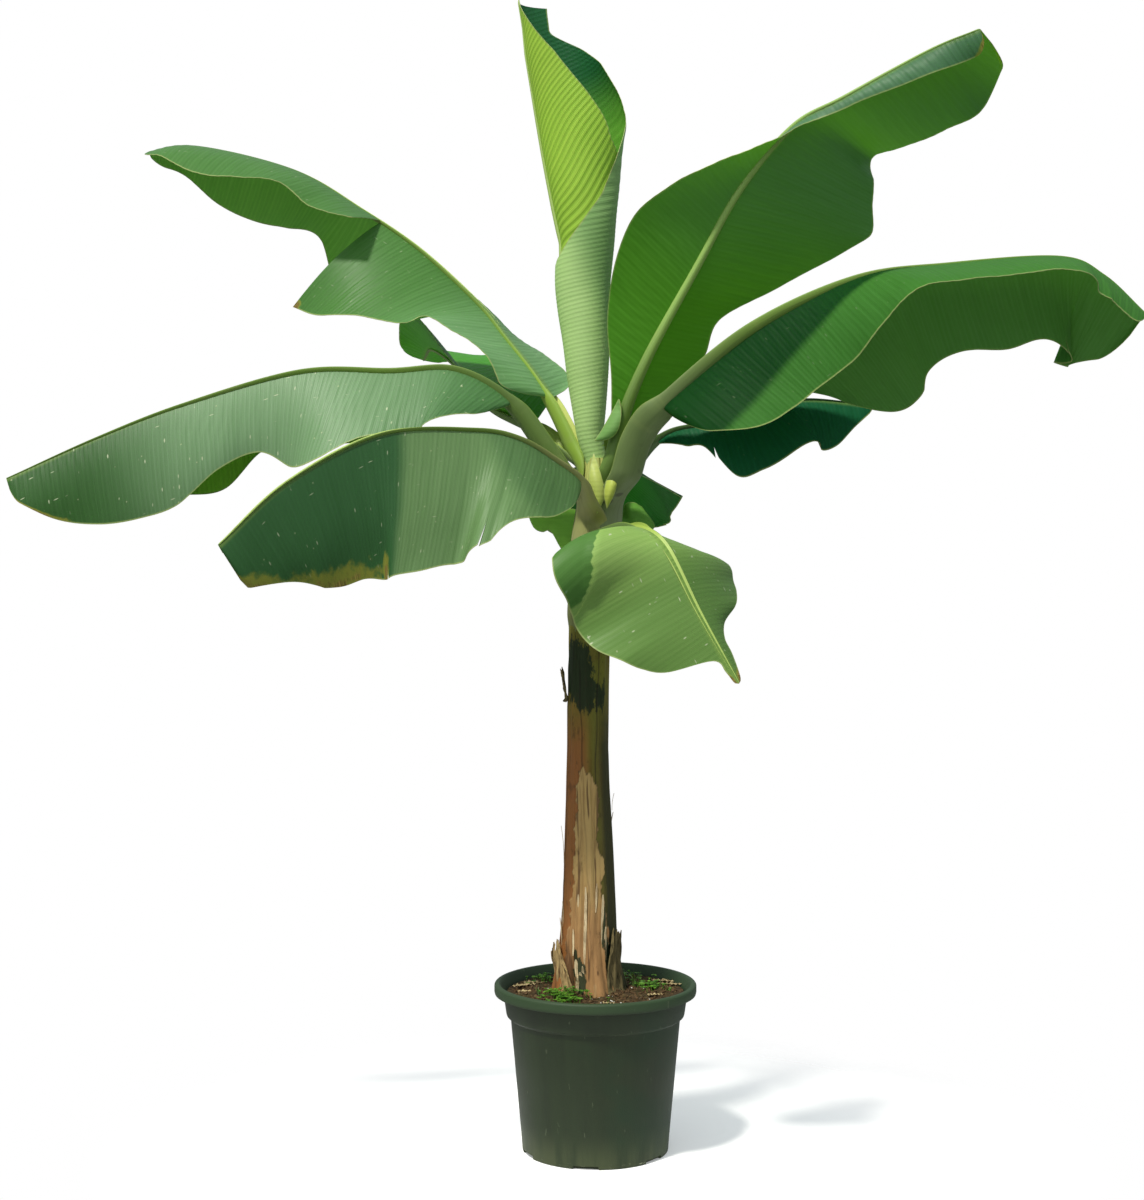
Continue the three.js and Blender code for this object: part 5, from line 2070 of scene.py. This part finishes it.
@dataclass(frozen=True)
class Lobe:
    """A small curled lobe or ridge in the crown, between two edges that start and end together.

    Each edge is a run of points (sideways, toward the back, up) in millimetres.
    """

    name: str
    first: tuple
    second: tuple
    bulge: float
    tone: LeafTone
    columns: int = 12
    rows: int = 30

    def build(self) -> None:
        """Builds the lobe."""
        share = np.linspace(0, 1, self.rows)
        low, high = (np.stack([along([p[k] for p in edge], share) for k in range(3)], -1) * MM
                     for edge in (self.first, self.second))
        t = np.linspace(0, 1, self.columns)[None, :, None]
        points = low[:, None] * (1 - t) + high[:, None] * t
        swell = 4 * t * (1 - t) * np.sin(np.pi * np.clip(share * 1.2, 0, 1))[:, None, None]
        points = points - np.array([0, self.bulge * MM, 0]) * swell
        across = np.linalg.norm(high - low, axis=-1)[:, None] * t[..., 0]
        edge = np.minimum(across, across[:, ::-1])
        numbers = {"edge": edge + 0.001, **{key: np.zeros_like(edge) for key in ("dry", "shade", "painted_shade")}}
        uv = np.stack([points[..., 2], across + 0.02], -1)
        name = f"{self.name}_lobe"
        piece = mesh_piece(name, points, grid_faces(self.rows, self.columns), numbers, uv)
        thicken(piece, 0.0016)
        finish = BladeFinish(self.tone, LeafFace.UPPER, scratches=0, stripe=0.05)
        materials = materials_of({name: finish, f"{name}_back": finish, f"{name}_rim": RimFinish()})
        settle(piece, materials, (), 50)


LOBES = (
    Lobe(
        "torn_leaf",
        first=((-128, 72, 1196), (-108, 66, 1206), (-70, 58, 1208), (-34, 38, 1204), (-10, 16, 1190)),
        second=(
            (-128, 72, 1196), (-116, 70, 1170), (-100, 66, 1162), (-84, 64, 1164), (-62, 58, 1128),
            (-46, 48, 1140), (-30, 34, 1176), (-10, 16, 1190),
        ),
        bulge=6, tone=LeafTone(paint(132, 196, 72), paint(132, 196, 72)),
    ),
    Lobe(
        "blade_under",
        first=((22, 14, 1172), (50, 44, 1190), (56, 46, 1214), (72, 48, 1218), (88, 50, 1210)),
        second=((22, 14, 1172), (70, 46, 1160), (95, 48, 1162), (112, 50, 1174), (88, 50, 1210)), bulge=10,
        tone=LeafTone(paint(104, 164, 62), paint(60, 104, 38)),
    ),
    Lobe(
        "blade_foot",
        first=(
            (-2, -62, 1330), (14, -72, 1330), (30, -80, 1336), (41, -84, 1351), (46, -86, 1378),
            (43, -80, 1404),
        ),
        second=(
            (-2, -62, 1330), (8, -64, 1345), (17, -68, 1360), (26, -72, 1376), (34, -74, 1391),
            (41, -78, 1405),
        ),
        bulge=9, tone=LeafTone(paint(118, 164, 88), paint(118, 164, 88)),
    ),
    Lobe(
        "petiole_foot", first=((20, -76, 1206), (15, -78, 1232), (20, -76, 1258), (31, -70, 1276)),
        second=((20, -76, 1206), (33, -82, 1232), (38, -82, 1256), (33, -70, 1277)), bulge=8,
        tone=LeafTone(paint(178, 196, 88), paint(170, 190, 80), paint(220, 230, 90)),
    ),
    Lobe(
        "sheath_top", first=((2, -64, 1196), (-12, -60, 1232), (-12, -58, 1268), (-5, -44, 1306)),
        second=((2, -64, 1196), (16, -66, 1230), (10, -62, 1264), (-3, -44, 1307)), bulge=8,
        tone=LeafTone(paint(172, 188, 96), paint(160, 176, 86), paint(200, 220, 110)),
    ),
)


# ------------------------------------------------------------------ half-furled leaf
@dataclass
class FurledLeaf:
    """The newest leaf in the middle: its front half wraps to the right, its back half over it.

    Each row of the roll is a height, the sideways place of its middle, its half-width and its
    half-depth, in millimetres. Each row of front and back is a height in millimetres and how many
    degrees that half reaches round from the midrib.
    """

    roll: tuple = (
        (1286, 4, 17, 17), (1336, -8, 21, 21), (1387, -11, 28, 27), (1488, -14, 37, 34),
        (1561, -18, 42, 37), (1620, -20, 45, 38), (1697, -16, 48, 40), (1760, -21, 57, 43),
        (1820, -24, 66, 47), (1867, -26, 73, 49), (1923, -27, 82, 51), (1970, -37, 80, 52),
        (2045, -62, 68, 50), (2095, -71, 64, 48), (2142, -81, 62, 46),
    )
    front: tuple = ((1286, 172), (1700, 172), (1850, 165), (1886, 133), (1970, 101), (2044, 73),
                    (2120, 22), (2142, 5))
    back: tuple = ((1286, 430), (1560, 420), (1596, 400), (1652, 360), (1675, 332), (1727, 285),
                   (1783, 243), (1867, 208), (1923, 190), (1970, 181), (2035, 168), (2067, 129),
                   (2089, 92), (2096, 81), (2142, 84))
    midrib_turn: float = 184.0
    front_pitch: float = 0.0125
    back_pitch: float = 0.0085
    rows: int = 230
    front_columns: int = 44
    back_columns: int = 100
    tone: LeafTone = LeafTone(paint(44, 104, 48), paint(158, 202, 68), paint(190, 230, 90), 0.35)
    wrap_tone: LeafTone = LeafTone(paint(40, 104, 54), paint(166, 204, 124), paint(96, 196, 60), 0.2)
    # The brighter colour low on the roll's inside is a painted highlight.
    inner_tone: LeafTone = LeafTone(paint(58, 112, 82), paint(58, 112, 82), paint(120, 220, 60), 0.4,
                                    base_tone_and_painted_light=paint(140, 200, 76), base_tone_reach=(1.97, 1.85))

    def _half(self, reach: tuple, columns: int, way: int,
              seed: int) -> tuple[Array, Array, dict[str, Array]]:
        """One half of the roll.

        Args:
            reach: How far it reaches round, by height.
            columns: Points across it.
            way: 1 for the half that turns to the front, -1 for the one that turns to the back.
            seed: Seed of its waves.

        Returns:
            Points, places on the map, and numbers that the points carry.
        """
        to_front = way > 0
        height = np.linspace(self.roll[0][0], self.roll[-1][0], self.rows) * MM
        t = np.linspace(0, 1, columns)
        middle, wide, deep = (steady(line, 9) for line in self._at(height))
        spread = np.array(reach)
        far = steady(np.interp(height / MM, spread[:, 0], spread[:, 1]), 3)
        turn = far[:, None] * t
        arc = np.radians(turn) * wide[:, None]
        level = np.repeat(height[:, None], columns, 1)
        tight = np.clip(wide / 0.045, 0.3, 1.2)[:, None]
        if to_front:
            climb = 0.18 + 0.8 * smooth(level, 1.50, 1.95)
            lift = -0.0024 * smooth(turn, 70, 170) * tight
            bold, pitch = 0.0008, self.front_pitch
        else:
            climb = -0.22 + 0.6 * smooth(level, 1.70, 2.0)
            lift = 0.0022 * smooth(turn, 150, 190) + 0.0065 * smooth(turn, 190, 360)
            lift = lift * tight + 0.004 * smooth(turn, 360, 430)
            bold, pitch = 0.00025, self.back_pitch
        vein = level - climb * arc + 0.0018 * Waves(seed, 0.16).at(level, arc)
        pleat = np.sin(vein * TAU / pitch)
        lift = lift + bold * pleat * smooth(turn, 4, 25) + 0.0016 * Waves(seed + 1, 0.15).at(level, arc) * t
        angle = np.radians(self.midrib_turn + way * turn)
        points = np.stack([middle[:, None] + (wide[:, None] + lift) * np.cos(angle),
                           (deep[:, None] + lift) * np.sin(angle), level], -1)
        edge = (1 - t)[None, :] * np.radians(far)[:, None] * wide[:, None]
        none = np.zeros_like(edge)
        painted_shade = none if to_front else self._wrap_painted_shade(turn, level)
        numbers = {"edge": edge, "dry": none, "shade": none, "painted_shade": painted_shade}
        uv = np.stack([vein, arc * way], -1)
        if not to_front:
            points, uv = points[:, ::-1], uv[:, ::-1]
            numbers = {key: value[:, ::-1] for key, value in numbers.items()}
        return points, uv, numbers

    def _at(self, height: Array) -> list[Array]:
        """Sideways place of the roll's middle, half-width and half-depth at heights, in metres."""
        table = np.array(self.roll)
        return [np.interp(height / MM, table[:, 0], table[:, k]) * MM for k in (1, 2, 3)]

    @staticmethod
    def _wrap_painted_shade(turn: Array, level: Array) -> Array:
        """Share of painted shade on the wrapped half, whose border climbs round the roll."""
        border = 225 + 500 * (level - 1.55)
        return smooth(turn, border + 45, border - 45) * smooth(level, 1.46, 1.60) * 0.75

    def build(self) -> None:
        """Builds the two halves and the midrib."""
        for half, reach, columns, way, seed, tone in (
                ("front", self.front, self.front_columns, 1, 90, self.tone),
                ("back", self.back, self.back_columns, -1, 95, self.wrap_tone)):
            points, uv, numbers = self._half(reach, columns, way, seed)
            name = f"furled_{half}"
            piece = mesh_piece(f"{name}_half", points, grid_faces(self.rows, columns), numbers, uv)
            thicken(piece, 0.0008)
            pitch, stripe = (self.front_pitch, 0.55) if way > 0 else (self.back_pitch, 0.2)
            outside = BladeFinish(tone, LeafFace.UNDER, pitch, pitch / 4, 0, stripe, 0.6)
            inside = BladeFinish(self.inner_tone, LeafFace.UPPER, pitch, pitch / 4, 0, 0.3, 0.6)
            materials = materials_of({f"{name}_outside": outside, f"{name}_inside": inside,
                                      f"{name}_rim": RimFinish()})
            settle(piece, materials, ["furled_leaf"] if way > 0 else (), 50)
        self._midrib()

    def _midrib(self) -> None:
        """Builds the midrib that runs up the left of the roll."""
        height = np.linspace(1.60, 2.147, 110)
        middle, wide, deep = self._at(height)
        turn = math.radians(self.midrib_turn)
        radius = np.interp(height, [1.60, 1.72, 2.14, 2.147], [0.003, 0.0055, 0.0022, 0.0008])
        sides = 12
        ring = np.linspace(0, TAU, sides, endpoint=False)
        x = middle[:, None] + (wide[:, None] - 0.0005) * math.cos(turn) + radius[:, None] * np.cos(ring)
        y = (deep[:, None] - 0.0005) * math.sin(turn) + radius[:, None] * np.sin(ring)
        points = np.stack([x, y, np.repeat(height[:, None], sides, 1)], -1)
        numbers = {"span": np.full(x.shape, 0.3), "inner": np.zeros(x.shape)}
        uv = np.stack([points[..., 2], np.repeat(ring[None] * 0.004, len(height), 0)], -1)
        piece = mesh_piece("furled_midrib", points, tube_faces(len(height), sides), numbers, uv)
        settle(piece, [StalkFinish(keel=paint(170, 196, 110)).material("furled_midrib")], (), 60)


# ------------------------------------------------------------------ floor, light and camera
@dataclass
class Studio:
    """A plain pale floor, soft lights and the camera."""

    camera_place: tuple[float, float, float] = (-0.044, -3.9, 1.17)
    camera_tilt: float = -1.98
    lens: float = 62.6
    warm: RGB = (1.0, 0.965, 0.88)
    cool: RGB = (0.97, 0.99, 1.0)
    ambient: float = 0.75
    floor_glow: float = 0.22
    floor_size: float = 1.0
    sky_stops: tuple = ((0.0, (0.30, 0.32, 0.28)), (0.5, (0.34, 0.36, 0.36)), (0.75, (0.62, 0.70, 0.76)),
                        (1.0, (0.92, 1.0, 1.0)))

    def build(self) -> None:
        """Builds floor, lights, world and camera."""
        self._floor()
        self._sun("key", (-0.95, -1.30, 2.60), 6, 3.5, self.warm)
        self._sun("front", (-1.6, -3.0, 1.6), 50, 0.45, self.cool)
        self._sun("side", (2.5, -2.0, 1.2), 80, 0.15, self.cool)
        self._world()
        view = bpy.data.cameras.new("camera")
        view.lens, view.sensor_width = self.lens, 36.0
        camera = bpy.data.objects.new("camera", view)
        camera.location = self.camera_place
        camera.rotation_euler = (math.radians(90 + self.camera_tilt), 0, 0)
        bpy.context.scene.collection.objects.link(camera)
        bpy.context.scene.camera = camera
        bpy.context.scene.view_settings.view_transform = "Standard"

    def _floor(self) -> None:
        """Lays the floor, which fades into the pale surroundings."""
        deselect()
        bpy.ops.mesh.primitive_circle_add(vertices=96, radius=self.floor_size, fill_type="NGON")
        floor = bpy.context.object
        floor.name = "floor"
        s = Shader("floor_paint")
        x, y, _ = s.axes(s.place())
        away = (x * x + y * y).step((0.95 * self.floor_size) ** 2, 0.04)
        sheet = s.surface(paint(242, 242, 242), 0.9, None, 0.1)
        shine = next(node for node in s.tree.nodes if node.type == "BSDF_PRINCIPLED")
        shine.inputs["Emission Color"].default_value = (1, 1, 1, 1)
        shine.inputs["Emission Strength"].default_value = self.floor_glow
        s.tree.links.new(away.socket, shine.inputs["Alpha"])
        floor.data.materials.append(sheet)

    @staticmethod
    def _sun(name: str, toward: tuple[float, float, float], spread: float, power: float,
             colour: RGB) -> None:
        """Sets one soft distant light.

        Args:
            name: Name of the light.
            toward: The way from the plant to the light.
            spread: Its width in degrees, which softens the shadows.
            power: Its strength.
            colour: Its colour.
        """
        light = bpy.data.lights.new(name, "SUN")
        light.angle, light.energy, light.color = math.radians(spread), power, colour
        lamp = bpy.data.objects.new(name, light)
        lamp.location = Vector(toward) * 1.5
        lamp.rotation_euler = Vector(toward).to_track_quat("Z", "Y").to_euler()
        bpy.context.scene.collection.objects.link(lamp)

    def _world(self) -> None:
        """Sets an even pale light all round, white where the camera sees it."""
        s = Shader("studio", bpy.data.worlds)
        bpy.context.scene.world = s.block
        height = s.axes(s.node("ShaderNodeTexCoord").outputs["Generated"])[2]
        sky = s.ramp(height * 0.5 + 0.5, self.sky_stops)
        lit = s.node("ShaderNodeBackground", None, {"Color": sky, "Strength": self.ambient}).outputs[0]
        seen = s.node("ShaderNodeBackground", None, {"Color": (1, 1, 1)}).outputs[0]
        by_camera = s.node("ShaderNodeLightPath").outputs["Is Camera Ray"]
        light = s.node("ShaderNodeMixShader", None, {0: by_camera, 1: lit, 2: seen}).outputs[0]
        s.node("ShaderNodeOutputWorld", None, {"Surface": light})


def main() -> None:
    """Builds the plant and its studio."""
    logging.basicConfig(level=logging.INFO, format="%(name)s: %(message)s")
    Pot().build()
    Compost().build()
    stem = Pseudostem()
    stem.build()
    for leaf in LEAVES:
        leaf.build(stem)
    FurledLeaf().build()
    for lobe in LOBES:
        lobe.build()
    Studio().build()


if __name__ == "__main__":
    main()
